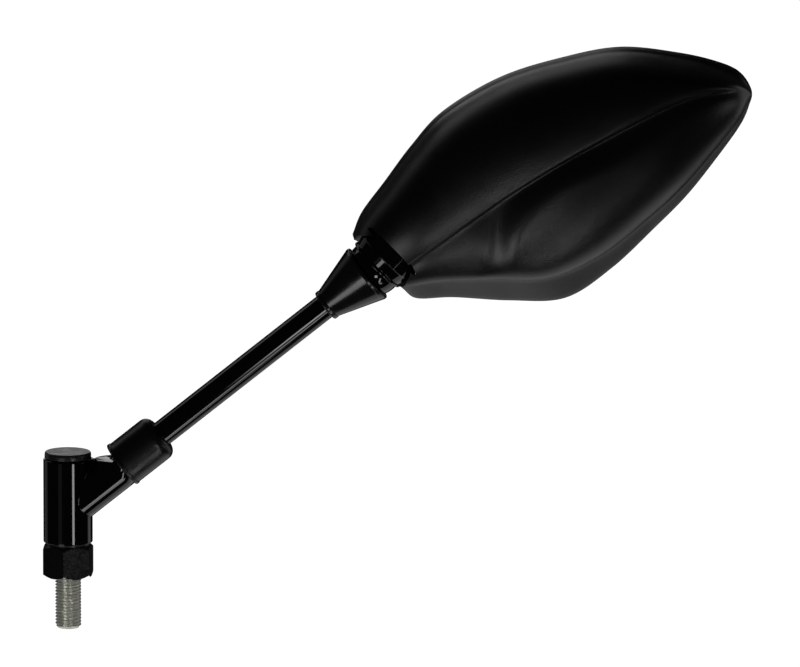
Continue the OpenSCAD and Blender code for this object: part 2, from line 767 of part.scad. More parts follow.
module mirror_glass() {
    color("#aeb6bd") lens(0, glass_t,
        rim_outline(glass_inset, cavity_up + 0.12, cavity_low + 0.12, last));
}

module glass_pad() {
    color("#3a3a3c") lens(glass_t, pad_t,
        rim_outline(pad_inset, cavity_up + 1, cavity_low + 1.4, last - 2.2));
}

// Height of the carrier's inner face at a place on the head, measured towards the glass
function carrier_y(place) = rim_y + glass_crown - glass_radius
    + sqrt(pow(glass_radius - glass_t - pad_t - carrier_t, 2)
    - pow(norm(place - [head_len / 2, 0]), 2));

// Plastic plate behind the glass, with bosses for the holder's screws and two ribs
module glass_carrier() {
    rib_w = 1.6;
    rib_h = 3.4;
    rib_from = head_len / 3;
    rib_len = 0.44 * head_len;
    rib_y = carrier_y([head_len / 2, 0]) - rib_h + 0.4;
    color("#262729") difference() {
        union() {
            lens(glass_t + pad_t, carrier_t,
                rim_outline(carrier_inset, cavity_up + 0.6, cavity_low + 1, last));
            for (p = screw_places) neck_frame()
                translate([-p[1], tongue_back, p[0]]) rotate([-90, 0, 0])
                cylinder(h = carrier_y(on_head(p)) + carrier_t / 2 - tongue_back,
                    d = carrier_boss_d);
            head_frame() for (across = [-0.16 * head_w, 0.18 * head_w])
                translate([rib_from, rib_y, across - rib_w / 2]) cube([rib_len, rib_h, rib_w]);
        }
        for (p = screw_places) neck_frame()
            translate([-p[1], tongue_back - 1, p[0]]) rotate([-90, 0, 0])
            cylinder(h = screw_bite + 1, d = holder_screw_d);
    }
}

threaded_stud();
hex_base();
lower_washer();
swivel_body();
pivot_bush();
thrust_washer();
disc_springs();
spring_washer();
pivot_nut();
top_cap();
stem();
lock_nut();
stem_sleeve();
cone_boot();
ball();
seat_cup();
seat_ring();
ball_holder();
clamp_plate();
clamp_springs();
clamp_screws();
holder_screws();
housing();
glass_carrier();
glass_pad();
mirror_glass();
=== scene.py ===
# %% [markdown]
# # A motorcycle mirror, dressed over its construction
#
# The construction is finished before this script starts. It holds every piece at its real
# size, and the joints: the barrel turns on the stud, and the head turns on a ball. This lesson
# gives the pieces the surfaces that the eye sees: a cut thread, a cast branch with its fillet,
# rubber with soft edges and a moulded shell with a rounded crease. It starts by loading the
# construction as a frame that nothing here may move.

# %% Load the frame
import json
import math

import bmesh
import bpy
import numpy as np
from mathutils import Matrix, Vector

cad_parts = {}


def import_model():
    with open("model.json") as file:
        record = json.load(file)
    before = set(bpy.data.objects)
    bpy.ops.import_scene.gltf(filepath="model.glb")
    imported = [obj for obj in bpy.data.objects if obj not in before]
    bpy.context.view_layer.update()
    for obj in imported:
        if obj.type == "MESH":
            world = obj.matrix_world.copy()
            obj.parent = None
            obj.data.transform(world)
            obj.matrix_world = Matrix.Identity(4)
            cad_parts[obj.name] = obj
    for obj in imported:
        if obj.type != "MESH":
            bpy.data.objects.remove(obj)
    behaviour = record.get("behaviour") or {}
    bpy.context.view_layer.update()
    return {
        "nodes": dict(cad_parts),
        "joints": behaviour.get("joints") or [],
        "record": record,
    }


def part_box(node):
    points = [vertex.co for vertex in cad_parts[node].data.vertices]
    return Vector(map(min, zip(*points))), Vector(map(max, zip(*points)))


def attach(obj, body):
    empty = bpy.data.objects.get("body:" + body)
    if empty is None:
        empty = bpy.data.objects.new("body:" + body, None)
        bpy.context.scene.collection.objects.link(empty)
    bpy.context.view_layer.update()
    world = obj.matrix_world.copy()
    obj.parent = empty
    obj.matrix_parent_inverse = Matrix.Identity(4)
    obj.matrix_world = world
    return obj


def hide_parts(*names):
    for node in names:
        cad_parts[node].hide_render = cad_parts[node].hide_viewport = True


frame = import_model()
print("pieces in the frame:", len(frame["nodes"]))

# %% [markdown]
# ## Places
#
# All sizes of the real object are easy to say in millimetres, and Blender's meshes here are in
# metres, so sizes are written as millimetres and one factor turns them into metres at the end.
# The joints already say where the ball is and which way the stem points. Three frames follow:
# along the stem, along the neck of the head, and along the head itself.

# %% Frames along the stem, the neck and the head
MM = 0.001
NECK_LEAN = 6.5
HEAD_RISE = 24.5

joints = {joint["name"]: joint for joint in frame["joints"]}
BALL = Vector(joints["head_turn"]["pos_m"])
STEM_DIRECTION = Vector(joints["head_turn"]["axis"])
STEM_FOOT = Vector(joints["arm_swivel"]["pos_m"])
STEM_RISE = math.degrees(math.atan2(STEM_DIRECTION.z, STEM_DIRECTION.x))


def leaning(origin, rise):
    """A frame whose Z axis rises by so many degrees above +X, in the plane of the stem."""
    return Matrix.Translation(origin) @ Matrix.Rotation(math.radians(90 - rise), 4, "Y")


ON_STUD = Matrix.Identity(4)
ON_STEM = leaning(STEM_FOOT, STEM_RISE)
ON_BALL = leaning(BALL, STEM_RISE)
ON_NECK = leaning(BALL, STEM_RISE + NECK_LEAN)
ON_HEAD = Matrix.Translation(BALL) @ Matrix.Rotation(math.radians(-HEAD_RISE), 4, "Y")
print(f"stem rises {STEM_RISE:.1f} degrees, ball at {tuple(round(v, 4) for v in BALL)}")

# %% [markdown]
# ## Tools for making a piece
#
# Most pieces of a mirror are turned or pressed round an axis, so the main tool is a lathe: a
# half section goes round, and each corner may carry a small radius. No real edge is a knife
# edge, and it is those small radii that catch the light. A row of points just before and after
# each radius keeps the shading of the long faces flat.

# %% A rounded half section
ARC_STEPS = 6
SUPPORT = 0.25


def rounded(corners, closed):
    """Points (r, z) along a section. Each corner is (r, z) or (r, z, radius)."""
    points = []
    count = len(corners)
    for i, corner in enumerate(corners):
        here = Vector(corner[:2])
        radius = corner[2] if len(corner) > 2 else 0
        if radius == 0 or (not closed and i in (0, count - 1)):
            points.append(here)
            continue
        back = (Vector(corners[i - 1][:2]) - here).normalized()
        ahead = (Vector(corners[(i + 1) % count][:2]) - here).normalized()
        half = back.angle(ahead) / 2
        reach = radius / math.tan(half)
        centre = here + (back + ahead).normalized() * (radius / math.sin(half))
        start = here + back * reach - centre
        end = here + ahead * reach - centre
        sweep = start.angle_signed(end)
        points.append(here + back * (reach + SUPPORT * radius))
        for step in range(ARC_STEPS + 1):
            angle = -sweep * step / ARC_STEPS
            turn = Matrix.Rotation(angle, 2)
            points.append(centre + turn @ start)
        points.append(here + ahead * (reach + SUPPORT * radius))
    return points


# %% The lathe
AROUND = 160


def mesh_object(name, bm, smooth_under=32):
    """Turns a bmesh in metres into an object with clean normals."""
    bmesh.ops.remove_doubles(bm, verts=bm.verts, dist=0.4e-6)
    bmesh.ops.recalc_face_normals(bm, faces=bm.faces)
    mesh = bpy.data.meshes.new(name)
    bm.to_mesh(mesh)
    bm.free()
    mesh.shade_smooth()
    mesh.set_sharp_from_angle(angle=math.radians(smooth_under))
    made = bpy.data.objects.new(name, mesh)
    bpy.context.scene.collection.objects.link(made)
    return made


def lathe_into(bm, corners, place, closed=True, around=AROUND):
    """Adds a turned form to a bmesh. A closed section is a ring, an open one ends on the axis."""
    rings = []
    for r, z in rounded(corners, closed):
        if r < 1e-6:
            rings.append([bm.verts.new(place @ Vector((0, 0, z * MM)))])
            continue
        ring = []
        for k in range(around):
            angle = 2 * math.pi * k / around
            spot = Vector((r * math.cos(angle), r * math.sin(angle), z)) * MM
            ring.append(bm.verts.new(place @ spot))
        rings.append(ring)
    pairs = list(zip(rings, rings[1:] + rings[:1])) if closed else list(zip(rings, rings[1:]))
    for low, high in pairs:
        for k in range(around):
            n = (k + 1) % around
            corners_here = [low[k % len(low)], low[n % len(low)], high[n % len(high)], high[k % len(high)]]
            face = list(dict.fromkeys(corners_here))
            if len(face) > 2:
                bm.faces.new(face)


def lathe(name, corners, place, closed=True):
    bm = bmesh.new()
    lathe_into(bm, corners, place, closed)
    return mesh_object(name, bm)


# %% Hand a piece over to its body
def keep(piece, body, finish, *nodes):
    """The piece rides on a body, takes its finish and stands for the plain nodes."""
    piece.data.materials.clear()
    piece.data.materials.append(FINISHES[finish])
    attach(piece, body)
    if nodes:
        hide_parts(*nodes)
    print(f"{piece.name}: {len(piece.data.polygons)} faces on {body}")


# %% [markdown]
# ## Finishes
#
# Nearly everything on this mirror is black, so the finishes differ only in how they break up
# light. Each one is a Principled shader with a grain of the right size: the grain tilts the
# surface a little through a Bump node, and a slower noise changes the roughness from place to
# place, as handling and moulding do. The patterns read Object coordinates in metres, so a
# scale of 2000 is a grain of half a millimetre.

# %% Shader helpers
FINISHES = {}


def finish(name, colour, roughness, metallic=0.0):
    """A new material with a Principled shader, ready for its grain."""
    material = bpy.data.materials.new(name)
    material.use_nodes = True
    tree = material.node_tree
    shader = tree.nodes["Principled BSDF"]
    shader.inputs["Base Color"].default_value = (*colour, 1)
    shader.inputs["Roughness"].default_value = roughness
    shader.inputs["Metallic"].default_value = metallic
    FINISHES[name] = material
    return tree, shader


def noise(tree, scale, detail=2.0, stretch=(1, 1, 1)):
    """A noise on Object coordinates, stretched along the axes if wanted."""
    place = tree.nodes.new("ShaderNodeTexCoord")
    mapping = tree.nodes.new("ShaderNodeMapping")
    mapping.inputs["Scale"].default_value = stretch
    texture = tree.nodes.new("ShaderNodeTexNoise")
    texture.inputs["Scale"].default_value = scale
    texture.inputs["Detail"].default_value = detail
    tree.links.new(place.outputs["Object"], mapping.inputs["Vector"])
    tree.links.new(mapping.outputs["Vector"], texture.inputs["Vector"])
    return texture.outputs["Fac"]


def between(tree, value, low, high, start=0.3, end=0.7):
    """Maps a noise to a range of values."""
    node = tree.nodes.new("ShaderNodeMapRange")
    node.inputs["From Min"].default_value = start
    node.inputs["From Max"].default_value = end
    node.inputs["To Min"].default_value = low
    node.inputs["To Max"].default_value = high
    tree.links.new(value, node.inputs["Value"])
    return node.outputs["Result"]


def bump(tree, shader, height, distance_mm, strength=1.0, over=None):
    """Tilts the surface by a height pattern, on top of another bump if one is given."""
    node = tree.nodes.new("ShaderNodeBump")
    node.inputs["Distance"].default_value = distance_mm * MM
    node.inputs["Strength"].default_value = strength
    tree.links.new(height, node.inputs["Height"])
    if over:
        tree.links.new(over, node.inputs["Normal"])
    tree.links.new(node.outputs["Normal"], shader.inputs["Normal"])
    return node.outputs["Normal"]


def two_tones(tree, shader, pattern, dark, light):
    """Lets the colour wander between two tones."""
    node = tree.nodes.new("ShaderNodeMix")
    node.data_type = "RGBA"
    node.inputs["A"].default_value = (*dark, 1)
    node.inputs["B"].default_value = (*light, 1)
    tree.links.new(pattern, node.inputs["Factor"])
    tree.links.new(node.outputs["Result"], shader.inputs["Base Color"])


# %% [markdown]
# ### The black moulding of the shell
#
# The shell is a satin plastic with a fine eroded grain from its mould. The light spreads over
# it in soft bands, and close up the grain sparkles slightly.

# %% Shell plastic
def shell_plastic():
    tree, shader = finish("shell_plastic", (0.0045, 0.0045, 0.0055), 0.35)
    two_tones(tree, shader, noise(tree, 60), (0.004, 0.004, 0.005), (0.005, 0.005, 0.0062))
    tree.links.new(between(tree, noise(tree, 90, 3), 0.32, 0.38), shader.inputs["Roughness"])
    coarse = bump(tree, shader, noise(tree, 1900, 2), 0.06, 0.8)
    bump(tree, shader, noise(tree, 6000, 1), 0.015, 0.5, over=coarse)


shell_plastic()

# %% [markdown]
# ### Gloss paint, cap plastic and the coated hexagon
#
# The barrel, its branch and the stem are painted gloss black: almost no roughness, and a very
# faint ripple as sprayed paint has. The cap is a half-gloss plastic, and the hexagon has a
# satin coating with a visible grain.

# %% Painted and coated metal
def gloss_paint():
    tree, shader = finish("gloss_paint", (0.0025, 0.0025, 0.003), 0.06)
    tree.links.new(between(tree, noise(tree, 150, 2), 0.05, 0.08), shader.inputs["Roughness"])
    bump(tree, shader, noise(tree, 260, 1), 0.012, 0.03)


def cap_plastic():
    tree, shader = finish("cap_plastic", (0.02, 0.02, 0.02), 0.3)
    tree.links.new(between(tree, noise(tree, 300, 3), 0.26, 0.36), shader.inputs["Roughness"])
    bump(tree, shader, noise(tree, 2200, 2), 0.02, 0.4)


def black_hex():
    tree, shader = finish("black_hex", (0.006, 0.0065, 0.0075), 0.26)
    two_tones(tree, shader, noise(tree, 700, 3), (0.004, 0.0045, 0.005), (0.009, 0.0095, 0.011))
    tree.links.new(between(tree, noise(tree, 500, 3), 0.22, 0.32), shader.inputs["Roughness"])
    bump(tree, shader, noise(tree, 1500, 2), 0.04, 0.4)


gloss_paint()
cap_plastic()
black_hex()

# %% [markdown]
# ### Rubber
#
# The sleeve is matt with a bloom on it, the cone is pressed in a polished mould and shines
# more. Both have a soft, slightly uneven skin.

# %% Rubber
def sleeve_rubber():
    tree, shader = finish("sleeve_rubber", (0.004, 0.004, 0.005), 0.32)
    two_tones(tree, shader, noise(tree, 220, 4), (0.003, 0.003, 0.004), (0.006, 0.006, 0.0075))
    tree.links.new(between(tree, noise(tree, 160, 3), 0.29, 0.35), shader.inputs["Roughness"])
    coarse = bump(tree, shader, noise(tree, 420, 3), 0.08, 0.35)
    bump(tree, shader, noise(tree, 3800, 2), 0.02, 0.5, over=coarse)


def boot_rubber():
    tree, shader = finish("boot_rubber", (0.008, 0.008, 0.009), 0.2)
    tree.links.new(between(tree, noise(tree, 140, 3), 0.16, 0.24), shader.inputs["Roughness"])
    coarse = bump(tree, shader, noise(tree, 200, 2), 0.05, 0.15)
    bump(tree, shader, noise(tree, 3000, 2), 0.012, 0.3, over=coarse)


sleeve_rubber()
boot_rubber()

# %% [markdown]
# ### Bright metal, mirror and the inner pieces
#
# The stud is zinc plated: a bright metal with a slight yellow-green cast. The mirror glass is a
# silvered surface, so it is a metal with almost no roughness under a clear coat. The inner
# pieces get plain finishes of their own: they are seen when somebody opens the model.

# %% Metals
def plated(name, dark, light, low, high, metallic=1.0):
    tree, shader = finish(name, light, (low + high) / 2, metallic)
    two_tones(tree, shader, noise(tree, 300, 2), dark, light)
    tree.links.new(between(tree, noise(tree, 500, 2), low, high), shader.inputs["Roughness"])
    bump(tree, shader, noise(tree, 1200, 1), 0.004, 0.2)


plated("zinc_plate", (0.78, 0.79, 0.7), (0.93, 0.93, 0.86), 0.3, 0.4, metallic=0.7)
plated("plain_steel", (0.48, 0.49, 0.5), (0.62, 0.63, 0.64), 0.22, 0.36)
plated("spring_steel", (0.26, 0.27, 0.29), (0.38, 0.39, 0.41), 0.25, 0.4)
plated("bronze", (0.42, 0.27, 0.12), (0.56, 0.38, 0.19), 0.38, 0.5)

# %% Mirror, nylon, foam and the carrier
def mirror_silver():
    tree, shader = finish("mirror_glass", (0.86, 0.88, 0.9), 0.015, metallic=1.0)
    tree.links.new(between(tree, noise(tree, 40, 2), 0.01, 0.02), shader.inputs["Roughness"])


def soft_plastic(name, dark, light, roughness, grain):
    tree, shader = finish(name, light, roughness)
    two_tones(tree, shader, noise(tree, 300, 3), dark, light)
    bump(tree, shader, noise(tree, grain, 3), 0.04, 0.5)


mirror_silver()
soft_plastic("nylon", (0.7, 0.68, 0.61), (0.8, 0.78, 0.72), 0.4, 1500)
soft_plastic("foam", (0.012, 0.012, 0.012), (0.03, 0.03, 0.03), 0.9, 2500)
soft_plastic("carrier_plastic", (0.02, 0.02, 0.021), (0.032, 0.032, 0.034), 0.5, 2600)
print("finishes:", ", ".join(sorted(FINISHES)))

# %% [markdown]
# ## The stud's thread
#
# An M10 thread of fine pitch is one ridge wound round a rod. A sheet of points can be rolled
# into that rod by a rule: the height along the rod and the angle round it, taken together, say
# how deep each point lies. Geometry Nodes hold the rule, so the diameter, the pitch and the
# length stay inputs that anyone can turn. The first and last rows fall on the axis, which
# closes both ends.

# %% A node tree for the thread
def math_node(tree, operation, *values):
    """Adds a Math node and feeds it numbers or other nodes' outputs."""
    node = tree.nodes.new("ShaderNodeMath")
    node.operation = operation
    for socket, value in zip(node.inputs, values):
        if isinstance(value, (int, float)):
            socket.default_value = value
        else:
            tree.links.new(value, socket)
    return node.outputs[0]


def named_inputs(tree, sizes):
    """Adds float inputs to a node tree, with their usual values."""
    tree.interface.new_socket("Geometry", in_out="OUTPUT", socket_type="NodeSocketGeometry")
    for name, value in sizes.items():
        socket = tree.interface.new_socket(name, in_out="INPUT", socket_type="NodeSocketFloat")
        socket.default_value = value
    tree.interface.new_socket("Finish", in_out="INPUT", socket_type="NodeSocketMaterial")
    return tree.nodes.new("NodeGroupInput")


THREAD = {"Radius": 5 * MM, "Depth": 0.72 * MM, "Pitch": 1.25 * MM, "Length": 20 * MM, "Chamfer": 1.2 * MM}
THREAD_ROWS = 16 * 16 + 1
THREAD_ROOT_FLAT = 0.06
THREAD_CREST_FLAT = 0.86
THREAD_AROUND = 96


def thread_tree():
    tree = bpy.data.node_groups.new("wound_thread", "GeometryNodeTree")
    given = named_inputs(tree, THREAD).outputs
    step = math_node(tree, "DIVIDE", given["Length"], THREAD_ROWS - 1)
    sheet = tree.nodes.new("GeometryNodeMeshGrid")
    sheet.inputs["Vertices X"].default_value = THREAD_ROWS + 2
    sheet.inputs["Vertices Y"].default_value = THREAD_AROUND + 1
    sheet.inputs["Size Y"].default_value = 2 * math.pi
    tree.links.new(math_node(tree, "MULTIPLY_ADD", step, 2, given["Length"]), sheet.inputs["Size X"])
    spot = tree.nodes.new("GeometryNodeInputPosition")
    split = tree.nodes.new("ShaderNodeSeparateXYZ")
    tree.links.new(spot.outputs[0], split.inputs[0])
    along, angle = split.outputs[0], split.outputs[1]
    half = math_node(tree, "MULTIPLY", given["Length"], 0.5)
    capped = math_node(tree, "MAXIMUM", math_node(tree, "MINIMUM", along, half),
                       math_node(tree, "MULTIPLY", half, -1))
    z = math_node(tree, "SUBTRACT", capped, half)
    wound = math_node(tree, "SUBTRACT", math_node(tree, "DIVIDE", z, given["Pitch"]),
                      math_node(tree, "DIVIDE", angle, 2 * math.pi))
    phase = math_node(tree, "FRACT", wound)
    from_root = math_node(tree, "ABSOLUTE", math_node(tree, "SUBTRACT", phase, 0.5))
    ridge = math_node(tree, "MULTIPLY", from_root, 2)
    shaped = tree.nodes.new("ShaderNodeMapRange")
    shaped.interpolation_type = "SMOOTHSTEP"
    shaped.inputs["From Min"].default_value = THREAD_ROOT_FLAT
    shaped.inputs["From Max"].default_value = THREAD_CREST_FLAT
    tree.links.new(ridge, shaped.inputs["Value"])
    cut_share = math_node(tree, "SUBTRACT", 1, shaped.outputs["Result"])
    cut = math_node(tree, "MULTIPLY", cut_share, given["Depth"])
    threaded = math_node(tree, "SUBTRACT", given["Radius"], cut)
    from_end = math_node(tree, "ADD", z, given["Length"])
    lead = math_node(tree, "ADD", math_node(tree, "SUBTRACT", given["Radius"], given["Chamfer"]), from_end)
    radius = math_node(tree, "MINIMUM", threaded, lead)
    outside = math_node(tree, "SUBTRACT", math_node(tree, "ABSOLUTE", along), half)
    on_rod = math_node(tree, "LESS_THAN", outside, math_node(tree, "MULTIPLY", step, 0.5))
    radius = math_node(tree, "MULTIPLY", radius, on_rod)
    joined = tree.nodes.new("ShaderNodeCombineXYZ")
    tree.links.new(math_node(tree, "MULTIPLY", radius, math_node(tree, "COSINE", angle)), joined.inputs[0])
    tree.links.new(math_node(tree, "MULTIPLY", radius, math_node(tree, "SINE", angle)), joined.inputs[1])
    tree.links.new(z, joined.inputs[2])
    chain(tree, sheet.outputs["Mesh"], given["Finish"], joined.outputs[0])
    return tree


def chain(tree, geometry, material, position=None):
    """Moves the points if a position is given, then welds, realizes and paints the geometry."""
    if position:
        move = tree.nodes.new("GeometryNodeSetPosition")
        tree.links.new(geometry, move.inputs["Geometry"])
        tree.links.new(position, move.inputs["Position"])
        weld = tree.nodes.new("GeometryNodeMergeByDistance")
        weld.inputs["Distance"].default_value = 0.002 * MM
        tree.links.new(move.outputs[0], weld.inputs[0])
        geometry = weld.outputs[0]
    real = tree.nodes.new("GeometryNodeRealizeInstances")
    paint = tree.nodes.new("GeometryNodeSetMaterial")
    out = tree.nodes.new("NodeGroupOutput")
    tree.links.new(geometry, real.inputs[0])
    tree.links.new(real.outputs[0], paint.inputs["Geometry"])
    tree.links.new(material, paint.inputs["Material"])
    tree.links.new(paint.outputs[0], out.inputs[0])


# %% Grow a mesh from a node tree
def grow(name, tree, sizes, material):
    """Runs a node tree on an empty mesh and returns its result as a plain mesh."""
    holder = bpy.data.objects.new(name + "_holder", bpy.data.meshes.new(name + "_holder"))
    bpy.context.scene.collection.objects.link(holder)
    modifier = holder.modifiers.new("grow", "NODES")
    modifier.node_group = tree
    for item in tree.interface.items_tree:
        if item.in_out == "INPUT" and item.name in sizes:
            modifier[item.identifier] = sizes[item.name]
        if item.in_out == "INPUT" and item.name == "Finish":
            modifier[item.identifier] = material
    ready = holder.evaluated_get(bpy.context.evaluated_depsgraph_get())
    mesh = bpy.data.meshes.new_from_object(ready)
    bpy.data.objects.remove(holder)
    return mesh


# %% The stud with its plain shank
SHANK_RADIUS = 4.0
SHANK_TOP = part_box("threaded_stud")[1].z / MM
PRESS_RADIUS = 4.5
PRESS_LENGTH = 9.0


def stud():
    bm = bmesh.new()
    bm.from_mesh(grow("thread", thread_tree(), THREAD, FINISHES["zinc_plate"]))
    lathe_into(bm, [(0, 0), (PRESS_RADIUS, 0), (PRESS_RADIUS, PRESS_LENGTH), (SHANK_RADIUS, PRESS_LENGTH),
                    (SHANK_RADIUS, SHANK_TOP, 0.6), (0, SHANK_TOP)], ON_STUD, closed=False, around=96)
    return mesh_object("stud", bm, smooth_under=50)


keep(stud(), "clamp_side", "zinc_plate", "threaded_stud")

# %% [markdown]
# ## Hexagon
#
# A turned bar of hexagonal stock has its corners cut back by a cone at each end. That is the
# meeting of two solids, a six-sided prism and a turned form, so a Boolean makes it, and a
# narrow bevel breaks the edges as the coating does.

# %% Cut the hexagon
HEX_ACROSS = 18.0
HEX_HEIGHT = 13.0
HEX_TURN = 21.3
HEX_CONE = 2.4


def boolean(target, cutter, operation):
    """Applies a Boolean and removes the cutter."""
    modifier = target.modifiers.new("cut", "BOOLEAN")
    modifier.operation = operation
    modifier.solver = "EXACT"
    modifier.object = cutter
    apply_modifiers(target)
    bpy.data.objects.remove(cutter)


def apply_modifiers(target):
    ready = target.evaluated_get(bpy.context.evaluated_depsgraph_get())
    mesh = bpy.data.meshes.new_from_object(ready)
    target.modifiers.clear()
    old = target.data
    target.data = mesh
    bpy.data.meshes.remove(old)


def soften_edges(target, width_mm, segments=3, over=30):
    """Bevels the edges that are sharper than an angle, and shades the rest smooth."""
    modifier = target.modifiers.new("soften", "BEVEL")
    modifier.width = width_mm * MM
    modifier.segments = segments
    modifier.limit_method = "ANGLE"
    modifier.angle_limit = math.radians(over)
    modifier.harden_normals = True
    apply_modifiers(target)


def hexagon():
    bm = bmesh.new()
    corner = HEX_ACROSS / 2 / math.cos(math.radians(30)) * MM
    bmesh.ops.create_cone(bm, cap_ends=True, segments=6, radius1=corner, radius2=corner,
                          depth=HEX_HEIGHT * MM)
    turn = Matrix.Rotation(math.radians(HEX_TURN), 4, "Z")
    lift = Matrix.Translation((0, 0, HEX_HEIGHT / 2 * MM))
    first = min(bm.verts, key=lambda v: math.atan2(v.co.y, v.co.x) % math.radians(60)).co
    offset = math.atan2(first.y, first.x) % math.radians(60)
    bm.transform(lift @ turn @ Matrix.Rotation(-offset, 4, "Z"))
    prism = mesh_object("hexagon", bm)
    inner = HEX_ACROSS / 2 - 0.3
    outer = HEX_ACROSS / 2 + 2.2
    turned = lathe("hexagon_cone", [
        (0, 0), (inner, 0), (outer, HEX_CONE), (outer, HEX_HEIGHT - HEX_CONE),
        (inner, HEX_HEIGHT), (0, HEX_HEIGHT)], ON_STUD, closed=False)
    boolean(prism, turned, "INTERSECT")
    soften_edges(prism, 0.25, over=20)
    return prism


keep(hexagon(), "clamp_side", "black_hex", "hex_base")

# %% [markdown]
# ## Barrel and branch
#
# The barrel is cast in one piece with the branch that takes the stem, and a small fillet runs
# round the corner between them. A fillet is the path of a ball that rolls along the corner and
# touches both cylinders, so its centre lies one ball radius outside each of them. That gives a
# formula for every point of it, which is cleaner here than bevelling a Boolean's edge.

# %% Branch with a rolling-ball fillet
BARREL_RADIUS = 9.5
BARREL_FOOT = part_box("swivel_body")[0].z / MM
BARREL_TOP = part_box("swivel_body")[1].z / MM
CHAMBER_RADIUS = 7.5
BUSH_TOP = BARREL_FOOT + 18
BUSH_RADIUS = 5.4
BRANCH_RADIUS = 8.5
BRANCH_END = 26.6
FILLET = 0.7
BRANCH_AROUND = 144
BRANCH_ROWS = 10
FILLET_ROWS = 10


def branch_section(angle):
    """Points from the branch's end to the barrel along one line of the branch, in millimetres."""
    rise = math.radians(STEM_RISE)
    axis = Vector((math.cos(rise), 0, math.sin(rise)))
    across = Vector((-math.sin(rise), 0, math.cos(rise)))
    outward = across * math.cos(angle) + Vector((0, 1, 0)) * math.sin(angle)
    foot = STEM_FOOT / MM
    ball_reach = BRANCH_RADIUS + FILLET
    side = outward.y * ball_reach
    far_x = math.sqrt(max((BARREL_RADIUS + FILLET) ** 2 - side ** 2, 0))
    travel = (far_x - outward.x * ball_reach) / axis.x
    centre = foot + axis * travel + outward * ball_reach
    start = -outward
    flat = Vector((centre.x, centre.y, 0)).normalized()
    end = -flat
    end_at = foot + axis * BRANCH_END + outward * BRANCH_RADIUS
    touch = centre + start * FILLET
    line = [end_at.lerp(touch, k / BRANCH_ROWS) for k in range(BRANCH_ROWS)]
    arc = [centre + start.slerp(end, k / FILLET_ROWS) * FILLET for k in range(FILLET_ROWS + 1)]
    inner = arc[-1] - flat * 1.0
    return line + arc + [inner]


def branch_into(bm):
    lines = [branch_section(2 * math.pi * k / BRANCH_AROUND) for k in range(BRANCH_AROUND)]
    rings = [[bm.verts.new(line[row] * MM) for line in lines] for row in range(len(lines[0]))]
    for low, high in zip(rings, rings[1:]):
        for k in range(BRANCH_AROUND):
            n = (k + 1) % BRANCH_AROUND
            bm.faces.new([low[k], low[n], high[n], high[k]])
    bm.faces.new(rings[0])
    bm.faces.new(rings[-1])
    bmesh.ops.recalc_face_normals(bm, faces=bm.faces)
    found = bmesh.ops.bisect_plane(bm, geom=bm.verts[:] + bm.edges[:] + bm.faces[:],
                                   plane_co=(0, 0, BARREL_TOP * MM), plane_no=(0, 0, 1), clear_outer=True)
    cut_edges = [item for item in found["geom_cut"] if isinstance(item, bmesh.types.BMEdge)]
    bmesh.ops.holes_fill(bm, edges=cut_edges)


def barrel():
    bm = bmesh.new()
    branch_into(bm)
    branch = mesh_object("branch", bm)
    soften_edges(branch, 0.35, over=25)
    bm = bmesh.new()
    bm.from_mesh(branch.data)
    bpy.data.objects.remove(branch)
    lathe_into(bm, [
        (BUSH_RADIUS, BARREL_FOOT), (BARREL_RADIUS, BARREL_FOOT, 0.4), (BARREL_RADIUS, BARREL_TOP, 0.4),
        (CHAMBER_RADIUS, BARREL_TOP), (CHAMBER_RADIUS, BUSH_TOP), (BUSH_RADIUS, BUSH_TOP)], ON_STUD)
    return mesh_object("barrel", bm)


keep(barrel(), "arm", "gloss_paint", "swivel_body")

# %% [markdown]
# ## Cap, stem and rubber
#
# These are plain turned or moulded rings: a half section with its radii is all they need. The
# cap leaves a thin groove above the barrel. The sleeve has a fine lip at its near end and a
# large round shoulder at the other, and the cone has a rounded end with a very faint bead
# where it grips the stem.

# %% Cap on the barrel
CAP_RADIUS = 9.0
CAP_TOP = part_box("top_cap")[1].z / MM
CAP_GROOVE = 0.4
CAP_SKIRT = 2.0
CAP_NECK = 7.4


def cap():
    base = BARREL_TOP + CAP_GROOVE
    skirt = BARREL_TOP - CAP_SKIRT
    return lathe("cap", [
        (0, CAP_TOP - 0.15), (CAP_RADIUS - 1.6, CAP_TOP - 0.05), (CAP_RADIUS - 0.2, CAP_TOP, 0.5),
        (CAP_RADIUS, CAP_TOP - 1.0, 0.6), (CAP_RADIUS, base, 0.25), (CAP_NECK, base),
        (CAP_NECK, skirt, 0.2), (CAP_NECK - 1.2, skirt), (CAP_NECK - 1.2, BARREL_TOP), (0, BARREL_TOP)],
        ON_STUD, closed=False)


keep(cap(), "arm", "cap_plastic", "top_cap")

# %% Stem with its thin neck
STEM_RADIUS = 5.0
STEM_START = 13.1
BALL_AT = (BALL - STEM_FOOT).length / MM
RECESS_RADIUS = 11.3
NECK_RADIUS = 3.5
SPIGOT_RADIUS = 2.5
BALL_RADIUS = 7.0
BALL_FLAT = math.sqrt(BALL_RADIUS ** 2 - (NECK_RADIUS + 0.2) ** 2)


def stem():
    thin_at = BALL_AT - RECESS_RADIUS - 2
    return lathe("stem", [
        (0, STEM_START), (STEM_RADIUS, STEM_START, 0.5), (STEM_RADIUS, thin_at, 0.8),
        (NECK_RADIUS, thin_at + 2, 0.8), (NECK_RADIUS, BALL_AT - BALL_FLAT),
        (SPIGOT_RADIUS, BALL_AT - BALL_FLAT), (SPIGOT_RADIUS, BALL_AT + BALL_RADIUS - 2),
        (0, BALL_AT + BALL_RADIUS - 2)], ON_STEM, closed=False)


keep(stem(), "arm", "gloss_paint", "stem")

